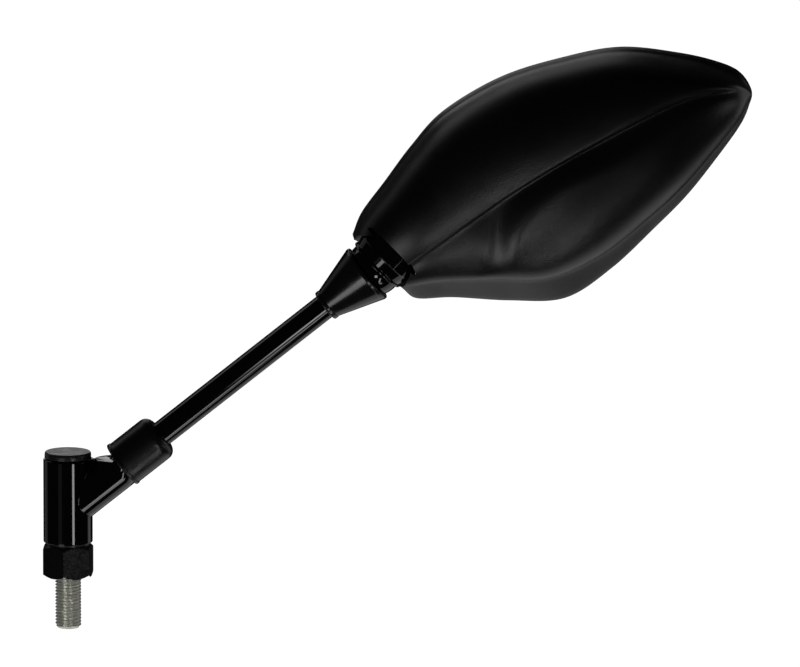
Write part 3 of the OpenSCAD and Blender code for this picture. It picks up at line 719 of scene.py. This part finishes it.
# %% Rubber sleeve over the lock nut
SLEEVE_RADIUS = 9.5
SLEEVE_LENGTH = 19.7
SLEEVE_ROOM = 8.3
SLEEVE_ROOM_LENGTH = 7.3
SLEEVE_SHOULDER = 3.6
SLEEVE_LIP = 1.2


def sleeve():
    near = BRANCH_END
    far = near + SLEEVE_LENGTH
    body = SLEEVE_RADIUS - 0.3
    return lathe("sleeve", [
        (SLEEVE_ROOM, near), (SLEEVE_RADIUS, near, 0.35), (SLEEVE_RADIUS, near + SLEEVE_LIP, 0.35),
        (body, near + SLEEVE_LIP + 0.35, 0.3), (body, far, SLEEVE_SHOULDER), (STEM_RADIUS + 0.02, far, 0.3),
        (STEM_RADIUS + 0.02, near + SLEEVE_ROOM_LENGTH), (SLEEVE_ROOM, near + SLEEVE_ROOM_LENGTH)], ON_STEM)


keep(sleeve(), "arm", "sleeve_rubber", "stem_sleeve")

# %% Rubber cone, hollowed for the ball holder
CONE_WIDE = -3.3
CONE_LENGTH = 21.2
CONE_SMALL = 6.3
CONE_BIG = 12.0
CONE_BEAD = 1.6


def cone():
    narrow = CONE_WIDE - CONE_LENGTH
    hollow = []
    lip_angle = math.acos(CONE_WIDE / RECESS_RADIUS)
    bore_angle = math.pi - math.asin(STEM_RADIUS / RECESS_RADIUS)
    for k in range(25):
        angle = lip_angle + (bore_angle - lip_angle) * k / 24
        hollow.append((RECESS_RADIUS * math.sin(angle), RECESS_RADIUS * math.cos(angle)))
    return lathe("cone", [
        (STEM_RADIUS + 0.02, narrow), (CONE_SMALL, narrow, 0.6),
        (CONE_SMALL + 0.1, narrow + CONE_BEAD, 0.4),
        (CONE_SMALL - 0.1, narrow + CONE_BEAD + 0.3, 0.25), (CONE_BIG - 0.15, CONE_WIDE - 1.6, 0.2),
        (CONE_BIG, CONE_WIDE - 1.3, 0.2), (CONE_BIG, CONE_WIDE, 0.5)] + hollow, ON_BALL)


keep(cone(), "arm", "boot_rubber", "cone_boot")

# %% [markdown]
# ## The shell
#
# The shell is the piece that gives the mirror its face. It is a loft: at every station along
# the head one section runs from the upper edge, over a round back, to a sharp crease, drops
# into a scoop, and swells out to the lower edge. The construction lofts it in few steps. Here
# the same rule runs with many more points, and each section is blurred over most of a
# millimetre, which rounds the crease and the lips as a mould does.

# %% The head's outline and section sizes
HEAD_DEPTH = 39.0
RIM_Y = 15.0
HEAD_LENGTH = 159.5
SHELL_WALL = 2.5
SCOOP_DROP = 5.5
CREASE_ROLL = 2.0
RIM_LIP = 6.0
LIP_DRAFT = 0.3
BAND_SLOPE = 0.8
LEAST_BAND = 0.6
FOOT_WIDTH = 0.8
FULLNESS = 2.5
NECK_FULLNESS = 0.7
ROLL_LIMIT = 0.06
CAVITY_UP = 1.0
CAVITY_LOW = 1.4
# Each row: upper edge along and across, lower edge along and across
STATIONS = np.array([
    [-3.5, 13, 6, -14.5], [3.5, 19.5, 9, -20], [16.3, 26.7, 22, -25.5], [31.6, 35.3, 41, -35.5],
    [48.4, 42.5, 61, -43.5], [73.5, 45.4, 82, -40.3], [98, 42.6, 103.5, -32.8],
    [120.5, 37, 120.8, -26], [140.5, 25.3, 138.8, -16.5], [153, 15.5, 150.5, -9.5],
    [158.5, 8.5, 156.5, -4], [159.5, 0.5, 159.5, 0.5]])
CREASE_SHARE = [0.66, 0.59, 0.526, 0.458, 0.419, 0.41, 0.401, 0.375, 0.31, 0.3, 0.35, 0.4]
DEPTH_SHARE = [0.62, 0.71, 0.83, 0.9, 0.955, 1, 0.985, 0.93, 0.81, 0.63, 0.42, 0.2]
DROP_SHARE = [0.7, 0.62, 0.5, 0.55, 0.88, 0.85, 0.75, 0.55, 0.3, 0.1, 0, 0]
SCOOP_SHARE = [1.5, 1.5, 1.2, 0.62, 0, -0.08, -0.02, -0.02, -0.08, -0.1, -0.1, -0.1]
SOFT_SHARE = [0.3, 0.4, 0.65, 0.75, 0.46, 0.3, 0.3, 0.3, 0.3, 0.3, 0.3, 0.3]
LOW_BAND = [3, 8.2, 10.3, 13.2, 12.5, 8.4, 6, 5, 4, 3.2, 2.6, 1]
UP_BAND = [0.8, 0.8, 0.8, 0.8, 0.8, 0.8, 0.8, 0.9, 1.2, 2, 2.6, 1]
LAST = len(STATIONS) - 1


# %% Smooth values along the stations
def through(rows, before, after, s):
    """A smooth curve through rows of values, at station s."""
    i = min(int(math.floor(s)), len(rows) - 2)
    a = before if i == 0 else rows[i - 1]
    b, c = rows[i], rows[i + 1]
    d = after if i == len(rows) - 2 else rows[i + 2]
    t = s - i
    return 0.5 * (2 * b + (c - a) * t + (2 * a - 5 * b + 4 * c - d) * t * t
                  + (3 * b - a - 3 * c + d) * t * t * t)


def share(values, s):
    return through(values, 2 * values[0] - values[1], 2 * values[-1] - values[-2], s)


UPPER_EDGE = STATIONS[:, 0:2]
LOWER_EDGE = STATIONS[:, 2:4]


def upper_at(s):
    return through(UPPER_EDGE, 2 * UPPER_EDGE[0] - UPPER_EDGE[1], LOWER_EDGE[-2], s)


def lower_at(s):
    return through(LOWER_EDGE, 2 * LOWER_EDGE[0] - LOWER_EDGE[1], UPPER_EDGE[-2], s)


PROBE = 0.05


def inset_edge(edge_at, s, inset, turn):
    """A point of an edge, moved inwards at right angles to it."""
    d = edge_at(min(s + PROBE, LAST)) - edge_at(max(s - PROBE, 0))
    d = d / np.linalg.norm(d)
    return edge_at(s) + turn * inset * np.array([d[1], -d[0]])


def upper_in(s, inset):
    return inset_edge(upper_at, s, inset, 1)


def lower_in(s, inset):
    return inset_edge(lower_at, s, inset, -1)


# %% One section of the shell
UP_STEPS = 44
LOW_STEPS = 48
RIM_ROUND = 0.5


def clustered(count):
    """Steps from 0 to 1 that crowd towards both ends."""
    return 0.5 - 0.5 * np.cos(np.pi * np.arange(count + 1) / count)


def swell(x):
    c = np.clip(x, 0, 1)
    return c * c * (3 - 2 * c)


def section(s_up, s_low, inset, steps):
    """Across-and-depth points of one section, its start and its direction on the rim's plane."""
    s = (s_up + s_low) / 2
    top = upper_in(s_up, inset)
    bottom = lower_in(s_low, inset)
    width = np.linalg.norm(bottom - top)
    depth = HEAD_DEPTH * share(DEPTH_SHARE, s) - inset
    crease = width * share(CREASE_SHARE, s) - 1.4 * inset
    up = max(LEAST_BAND, share(UP_BAND, s))
    low = max(LEAST_BAND, share(LOW_BAND, s))
    up_d = min(RIM_LIP + up * BAND_SLOPE, depth - 1)
    low_d = min(RIM_LIP + low * BAND_SLOPE, depth - 1)
    roll = min(CREASE_ROLL, depth * ROLL_LIMIT)
    drop = min(SCOOP_DROP * max(0, share(DROP_SHARE, s)), depth - roll - low_d)
    reach = share(SCOOP_SHARE, s)
    power = FULLNESS + NECK_FULLNESS * max(0, 1 - s / 3)
    a = 0.5 * np.pi * clustered(steps[0])
    x = 1 - np.cos(a).clip(0) ** (2 / power)
    rise = np.sin(a) ** (2 / power)
    upper = np.stack([up + (crease - up) * x,
                      up_d + (depth - up_d) * rise - roll * x ** 4], 1)
    a = 0.5 * np.pi * clustered(steps[1])
    b = np.sin(a) ** (2 / power)
    rise = np.cos(a).clip(0) ** (2 / power)
    dip = drop * (1 - swell((b - reach) / share(SOFT_SHARE, s))) * (1 - b ** 6)
    lower = np.stack([crease + FOOT_WIDTH + (width - low - crease - FOOT_WIDTH) * b,
                      low_d + (depth - roll - low_d) * rise - dip], 1)
    start = np.array([[0, 0], [LIP_DRAFT, RIM_LIP - 1]])
    end = np.array([[width - LIP_DRAFT, RIM_LIP - 1], [width, 0]])
    return np.concatenate([start, upper, lower, end]), top, (bottom - top) / width


# %% Blur a section so that its corners become round
BLUR = 0.85
FINE_STEP = 0.12
STRETCH_STEPS = 7


def filled(points):
    """Adds points along the short straight stretches at both ends and at the crease."""
    straight = {0, 1, UP_STEPS + 2, len(points) - 3, len(points) - 2}
    out = []
    for i in range(len(points) - 1):
        out.append(points[i])
        if i in straight:
            for t in clustered(STRETCH_STEPS)[1:-1]:
                out.append(points[i] + (points[i + 1] - points[i]) * t)
    out.append(points[-1])
    return np.array(out)


def blurred(points):
    """Each point becomes the weighted mean of the section round it."""
    lengths = np.concatenate([[0], np.cumsum(np.linalg.norm(np.diff(points, axis=0), axis=1))])
    reach = 4 * BLUR
    fine_at = np.arange(-reach, lengths[-1] + reach, FINE_STEP)
    inside = np.clip(fine_at, 0, lengths[-1])
    fine = np.stack([np.interp(inside, lengths, points[:, k]) for k in (0, 1)], 1)
    weights = np.exp(-0.5 * ((lengths[:, None] - fine_at[None, :]) / BLUR) ** 2)
    weights /= weights.sum(1, keepdims=True)
    out = weights @ fine
    out[0] = points[0] + np.array([RIM_ROUND, 0])
    out[-1] = points[-1] - np.array([RIM_ROUND, 0])
    return out


# %% Loft the two skins and close them
ROWS = 154
TIP = upper_at(LAST)


def skin_rows(inset, start_up, start_low, rows, smooth):
    """Rows of points in metres, from the neck towards the tip."""
    made = []
    for i in range(rows):
        part = i / rows
        steps = (UP_STEPS, LOW_STEPS) if smooth else (12, 14)
        points, top, way = section(start_up + (LAST - start_up) * part,
                                   start_low + (LAST - start_low) * part, inset, steps)
        if smooth:
            points = blurred(filled(points))
        spots = [top + q[0] * way for q in points]
        made.append([Vector((p[0], RIM_Y - q[1], p[1])) * MM for p, q in zip(spots, points)])
    lip = RIM_Y - (RIM_LIP - 1)
    tip_row = []
    for spot in made[-1]:
        tip_row.append(Vector(((TIP[0] - inset) * MM, max(spot.y, lip * MM), TIP[1] * MM)))
    return made + [tip_row]


def skin_faces(bm, rows):
    """Puts the rows' points and the faces between them into a bmesh."""
    verts = [[bm.verts.new(ON_HEAD @ spot) for spot in row] for row in rows]
    for low, high in zip(verts, verts[1:]):
        for j in range(len(low) - 1):
            bm.faces.new([low[j], high[j], high[j + 1], low[j + 1]])
    return verts


def shell():
    bm = bmesh.new()
    outer = skin_faces(bm, skin_rows(0, 0, 0, ROWS, True))
    inner = skin_faces(bm, skin_rows(SHELL_WALL, CAVITY_UP, CAVITY_LOW, ROWS, False))
    for side in (0, -1):
        for i in range(len(outer) - 1):
            bm.faces.new([outer[i][side], inner[i][side], inner[i + 1][side], outer[i + 1][side]])
    bm.faces.new([outer[0][0], outer[0][-1], inner[0][-1], inner[0][0]])
    bm.faces.new(outer[0])
    bm.faces.new(inner[0])
    return mesh_object("shell", bm)


# %% [markdown]
# The neck's bore goes through the closed end of the shell, so it is cut last, by a Boolean with
# a turned cutter.

# %% Bore the neck
MOUTH_RADIUS = 13.4
MOUTH_DEEP = 15.4
MOUTH_BEVEL = 1.2
BORE_END = 11.6
HOLDER_ROOM = 11.2
HOLDER_END = 14.8
SHELL_SHARP_ANGLE = 24


def bored_shell():
    made = shell()
    oval = Matrix.Diagonal((1, MOUTH_DEEP / MOUTH_RADIUS, 1, 1))
    wide = MOUTH_RADIUS + MOUTH_BEVEL
    mouth = lathe("mouth", [
        (0, -MOUTH_RADIUS), (MOUTH_RADIUS, -MOUTH_RADIUS), (MOUTH_RADIUS, BORE_END - 2),
        (wide, BORE_END - 2), (wide, BORE_END - MOUTH_BEVEL / 2),
        (MOUTH_RADIUS - 1, BORE_END + MOUTH_BEVEL / 2), (0, BORE_END + MOUTH_BEVEL / 2)],
        ON_NECK @ oval, closed=False)
    boolean(made, mouth, "DIFFERENCE")
    room = lathe("holder_room", [(0, 0), (HOLDER_ROOM, 0), (HOLDER_ROOM, HOLDER_END), (0, HOLDER_END)],
                 ON_NECK, closed=False)
    boolean(made, room, "DIFFERENCE")
    made.data.shade_smooth()
    made.data.set_sharp_from_angle(angle=math.radians(SHELL_SHARP_ANGLE))
    return made


keep(bored_shell(), "head", "shell_plastic", "housing")

# %% [markdown]
# ## The collar under the shell
#
# Between cone and shell a piece of the ball holder shows: a bead, a waist, a polished lip and
# the dark throat behind it. The holder's own mesh is welded so that its round faces shade
# evenly. Its plain ring is taken off, and a turned one with soft edges goes on instead.

# %% Weld the holder and add its collar
HOLDER_RADIUS = 10.9
BEAD_RADIUS = 11.85
WAIST_RADIUS = 11.4
LIP_RADIUS = 12.73
BEAD_AT = 0.95
LIP_AT = 5.9
THROAT_RADIUS = 12.7
COLLAR_END = 11.3
RING_MARGIN = 0.2


def collar():
    bm = bmesh.new()
    source = frame["nodes"]["ball_holder"]
    bm.from_mesh(source.data)
    bm.transform(source.matrix_world)
    bmesh.ops.remove_doubles(bm, verts=bm.verts, dist=1e-6)
    to_neck = ON_NECK.inverted()
    ringed = []
    for face in bm.faces:
        spots = [to_neck @ v.co / MM for v in face.verts]
        far = [math.hypot(p.x, p.y) for p in spots]
        stands_out = max(far) > HOLDER_RADIUS + RING_MARGIN and min(far) > HOLDER_RADIUS - RING_MARGIN
        if stands_out and max(p.z for p in spots) < LIP_AT:
            ringed.append(face)
    bmesh.ops.delete(bm, geom=ringed, context="FACES")
    lathe_into(bm, [
        (HOLDER_RADIUS - 0.6, BEAD_AT), (BEAD_RADIUS, BEAD_AT, 0.4), (BEAD_RADIUS, BEAD_AT + 1.0, 0.4),
        (WAIST_RADIUS, BEAD_AT + 1.2, 0.3), (LIP_RADIUS - 0.3, LIP_AT, 0.3),
        (LIP_RADIUS, LIP_AT + 0.2, 0.15), (LIP_RADIUS, LIP_AT + 1.0, 0.3),
        (THROAT_RADIUS, LIP_AT + 1.1, 0.1), (THROAT_RADIUS, COLLAR_END),
        (HOLDER_RADIUS - 0.6, COLLAR_END)], ON_NECK)
    return mesh_object("holder", bm, smooth_under=30)


keep(collar(), "head", "gloss_paint", "ball_holder")

# %% [markdown]
# ## The glass
#
# The glass is a slice of a large ball: 1.2 metres of radius make it slightly convex. Its
# outline is the shell's edge, set in by the wall and a small gap. The surface is worked out
# from the ball's formula, so that reflections run over it without a ripple.

# %% Slice of a ball
GLASS_RADIUS = 1200.0
GLASS_THICKNESS = 2.0
GLASS_CROWN = 0.5
GLASS_INSET = SHELL_WALL + 0.4
GLASS_ROWS = 72
GLASS_COLUMNS = 40


def glass_y(p, depth):
    away = np.linalg.norm(p - np.array([HEAD_LENGTH / 2, 0]))
    return RIM_Y + GLASS_CROWN - GLASS_RADIUS + math.sqrt((GLASS_RADIUS - depth) ** 2 - away ** 2)


def glass_sheet(bm, depth):
    rows = []
    for i in range(GLASS_ROWS + 1):
        part = i / GLASS_ROWS
        top = upper_in(CAVITY_UP + 0.12 + (LAST - CAVITY_UP - 0.12) * part, GLASS_INSET)
        bottom = lower_in(CAVITY_LOW + 0.12 + (LAST - CAVITY_LOW - 0.12) * part, GLASS_INSET)
        if i == GLASS_ROWS:
            top = bottom = np.array([TIP[0] - GLASS_INSET, TIP[1]])
        row = []
        for k in range(GLASS_COLUMNS + 1):
            p = top + (bottom - top) * k / GLASS_COLUMNS
            row.append(bm.verts.new(ON_HEAD @ (Vector((p[0], glass_y(p, depth), p[1])) * MM)))
        rows.append(row)
    for low, high in zip(rows, rows[1:]):
        for k in range(GLASS_COLUMNS):
            bm.faces.new([low[k], high[k], high[k + 1], low[k + 1]])
    return rows


def glass():
    bm = bmesh.new()
    front = glass_sheet(bm, 0)
    back = glass_sheet(bm, GLASS_THICKNESS)
    edge_front = [row[0] for row in front] + [row[-1] for row in reversed(front)]
    edge_back = [row[0] for row in back] + [row[-1] for row in reversed(back)]
    start_front = front[0]
    start_back = back[0]
    for k in range(len(edge_front) - 1):
        bm.faces.new([edge_front[k], edge_front[k + 1], edge_back[k + 1], edge_back[k]])
    for k in range(GLASS_COLUMNS):
        bm.faces.new([start_front[k], start_back[k], start_back[k + 1], start_front[k + 1]])
    made = mesh_object("glass", bm)
    soften_edges(made, 0.35, over=40)
    return made


keep(glass(), "head", "mirror_glass", "mirror_glass")

# %% [markdown]
# ## The coil springs in the head
#
# Two springs press the ball's seat. Each is a round wire on a helix.
# Geometry Nodes carry a small circle along a spiral curve and set one copy on each screw.

# %% A node tree for a pair of coils
COIL = {"Coil Radius": 2.2 * MM, "Wire": 0.8 * MM, "Height": 5.9 * MM, "Turns": 4.0, "Spread": 11.2 * MM}


def coil_tree():
    tree = bpy.data.node_groups.new("coil_pair", "GeometryNodeTree")
    given = named_inputs(tree, COIL).outputs
    spiral = tree.nodes.new("GeometryNodeCurveSpiral")
    spiral.inputs["Resolution"].default_value = 28
    rise = math_node(tree, "SUBTRACT", given["Height"], given["Wire"])
    tree.links.new(given["Turns"], spiral.inputs["Rotations"])
    tree.links.new(given["Coil Radius"], spiral.inputs["Start Radius"])
    tree.links.new(given["Coil Radius"], spiral.inputs["End Radius"])
    tree.links.new(rise, spiral.inputs["Height"])
    wire = tree.nodes.new("GeometryNodeCurvePrimitiveCircle")
    wire.inputs["Resolution"].default_value = 12
    tree.links.new(math_node(tree, "MULTIPLY", given["Wire"], 0.5), wire.inputs["Radius"])
    sweep = tree.nodes.new("GeometryNodeCurveToMesh")
    sweep.inputs["Fill Caps"].default_value = True
    tree.links.new(spiral.outputs[0], sweep.inputs["Curve"])
    tree.links.new(wire.outputs[0], sweep.inputs["Profile Curve"])
    ends = tree.nodes.new("GeometryNodeMeshLine")
    ends.mode = "END_POINTS"
    ends.inputs["Count"].default_value = 2
    for name, sign in (("Start Location", -1), ("Offset", 1)):
        spot = tree.nodes.new("ShaderNodeCombineXYZ")
        tree.links.new(math_node(tree, "MULTIPLY", given["Spread"], sign), spot.inputs[0])
        tree.links.new(spot.outputs[0], ends.inputs[name])
    copies = tree.nodes.new("GeometryNodeInstanceOnPoints")
    tree.links.new(ends.outputs[0], copies.inputs["Points"])
    tree.links.new(sweep.outputs[0], copies.inputs["Instance"])
    chain(tree, copies.outputs[0], given["Finish"])
    return tree


COIL_FOOT = 17.15


def coils():
    bm = bmesh.new()
    bm.from_mesh(grow("coils", coil_tree(), COIL, FINISHES["spring_steel"]))
    lowest = min(v.co.z for v in bm.verts)
    bm.transform(ON_NECK @ Matrix.Translation((0, 0, COIL_FOOT * MM - lowest)))
    return mesh_object("coils", bm, smooth_under=50)


keep(coils(), "head", "spring_steel", "clamp_springs")

# %% [markdown]
# ## Finishes on the pieces that stay as built
#
# The other pieces already have their true form in the construction. They only take a finish,
# which the record names for each of them.

# %% Dress the remaining nodes
slots = {row["node"]: row["material_slot"] for row in frame["record"]["subparts"]}
for name, node in frame["nodes"].items():
    node.data.materials.clear()
    node.data.materials.append(FINISHES[slots[name]])
print("nodes with a finish:", len(slots))

# %% [markdown]
# ## Studio
#
# The photograph is a plain product picture on white ground. Gloss black shows nothing but the
# lights round it, so their places matter more than their strength: a small one close by draws
# the bright line down the barrel, a broad one low on the left lights the cone and the head's
# back, a very wide one below lights the lower band, and faint ones behind draw the rims. Each
# softbox is placed by the direction that it has from the object and is given by its
# brightness. The pale floor is left out of the reflections and shades nothing.

# %% Softboxes
TARGET = Vector((0.128, 0, 0.095))


def toward(azimuth, elevation):
    """Direction from the object: azimuth 0 is the camera's side, and 90 is its right."""
    a, e = math.radians(azimuth), math.radians(elevation)
    return Vector((math.sin(a) * math.cos(e), -math.cos(a) * math.cos(e), math.sin(e)))


def softbox(name, azimuth, elevation, distance, width, height, brightness):
    """An area light that faces the object. Brightness is its radiance."""
    light = bpy.data.lights.new(name, "AREA")
    light.shape = "RECTANGLE"
    light.size = width
    light.size_y = height
    light.energy = brightness * math.pi * width * height
    made = bpy.data.objects.new(name, light)
    way = toward(azimuth, elevation)
    turn = way.to_track_quat("Z", "Y").to_matrix().to_4x4()
    made.matrix_world = Matrix.Translation(TARGET + way * distance) @ turn
    made.visible_camera = False
    bpy.context.scene.collection.objects.link(made)
    return made


softbox("strip_right", 4, -23, 0.337, 0.06, 0.06, 6.2)
softbox("strip_low", 25, -43, 0.89, 0.09, 0.3, 4.2)
softbox("low_right", 36, -56, 0.9, 0.16, 0.1, 3.0)
softbox("broad_left", -38, -29, 1.0, 0.36, 0.36, 3.4)
softbox("veil_left", -42, -13, 1.09, 0.3, 0.12, 0.1)
softbox("under", 180, -64, 1.2, 2.4, 1.1, 0.62)
softbox("right_side", 80, -4, 1.0, 0.5, 0.2, 1.0)
softbox("right_back", 122, 0, 1.3, 0.6, 1.2, 0.55)
softbox("left_back", -122, 0, 1.3, 0.6, 1.2, 0.16)
softbox("back_sky", -150, 38, 1.4, 1.4, 0.4, 0.6)
softbox("back_low", -176, 11, 1.5, 0.5, 0.3, 0.9)

# %% World and floor
PAPER = 1.05
SKY_FOOT = -0.6
SKY_HEAD = 0.9


def world(low, high):
    """A nearly black sky round the lights, which the camera sees as white paper."""
    made = bpy.data.worlds.new("studio")
    made.use_nodes = True
    tree = made.node_tree
    place = tree.nodes.new("ShaderNodeTexCoord")
    split = tree.nodes.new("ShaderNodeSeparateXYZ")
    ramp = tree.nodes.new("ShaderNodeMapRange")
    ramp.inputs["From Min"].default_value = SKY_FOOT
    ramp.inputs["From Max"].default_value = SKY_HEAD
    ramp.inputs["To Min"].default_value = low
    ramp.inputs["To Max"].default_value = high
    tree.links.new(place.outputs["Generated"], split.inputs[0])
    tree.links.new(split.outputs[2], ramp.inputs["Value"])
    rays = tree.nodes.new("ShaderNodeLightPath")
    paper = tree.nodes.new("ShaderNodeMix")
    paper.data_type = "RGBA"
    paper.inputs["B"].default_value = (PAPER, PAPER, PAPER, 1)
    tree.links.new(rays.outputs["Is Camera Ray"], paper.inputs["Factor"])
    tree.links.new(ramp.outputs["Result"], paper.inputs["A"])
    tree.links.new(paper.outputs["Result"], tree.nodes["Background"].inputs["Color"])
    bpy.context.scene.world = made


FLOOR_Z = -0.5
FLOOR_RADIUS = 24.0
SWEEP_RADIUS = 4.0
SWEEP_STEPS = 12
WALL_TOP = 14.0
WALL_SIDES = 72


def floor():
    """A round floor that curves up into a wall on all sides, as studio paper does."""
    line = []
    for k in range(SWEEP_STEPS + 1):
        angle = math.pi / 2 * k / SWEEP_STEPS
        line.append((FLOOR_RADIUS + SWEEP_RADIUS * math.sin(angle),
                     FLOOR_Z + SWEEP_RADIUS * (1 - math.cos(angle))))
    line.append((FLOOR_RADIUS + SWEEP_RADIUS, WALL_TOP))
    turns = [2 * math.pi * k / WALL_SIDES for k in range(WALL_SIDES)]
    bm = bmesh.new()
    rings = [[bm.verts.new((r * math.cos(a), r * math.sin(a), z)) for a in turns] for r, z in line]
    bm.faces.new(rings[0])
    for low, high in zip(rings, rings[1:]):
        for k in range(WALL_SIDES):
            bm.faces.new([low[k], high[k], high[k - 1], low[k - 1]])
    made = mesh_object("floor", bm)
    material = bpy.data.materials.new("floor_paper")
    material.use_nodes = True
    shader = material.node_tree.nodes["Principled BSDF"]
    shader.inputs["Base Color"].default_value = (0.9, 0.9, 0.9, 1)
    shader.inputs["Roughness"].default_value = 0.9
    shader.inputs["Emission Color"].default_value = (1, 1, 1, 1)
    shader.inputs["Emission Strength"].default_value = PAPER
    made.data.materials.append(material)
    made.visible_glossy = False
    made.visible_diffuse = False
    made.visible_shadow = False


world(0.006, 0.012)
floor()
bpy.context.scene.view_settings.view_transform = "Standard"

# %% [markdown]
# ## Camera
#
# The photograph looks at the front of the shell from eleven degrees above, from far away, so
# the lines hardly converge. A very long lens at eight metres gives the same.

# %% Camera at the photograph's angle
CAMERA_ELEVATION = 11.0
CAMERA_DISTANCE = 8.0
CLIP_END = 120.0
VIEW_WIDTH = 0.3077
VIEW_CENTRE = Vector((0.1279, 0, 0.0954))


def camera():
    data = bpy.data.cameras.new("camera")
    data.sensor_width = 36
    data.lens = data.sensor_width * CAMERA_DISTANCE / VIEW_WIDTH
    data.clip_end = CLIP_END
    made = bpy.data.objects.new("camera", data)
    way = toward(0, CAMERA_ELEVATION)
    made.matrix_world = (Matrix.Translation(VIEW_CENTRE + way * CAMERA_DISTANCE)
                         @ way.to_track_quat("Z", "Y").to_matrix().to_4x4())
    bpy.context.scene.collection.objects.link(made)
    bpy.context.scene.camera = made


camera()
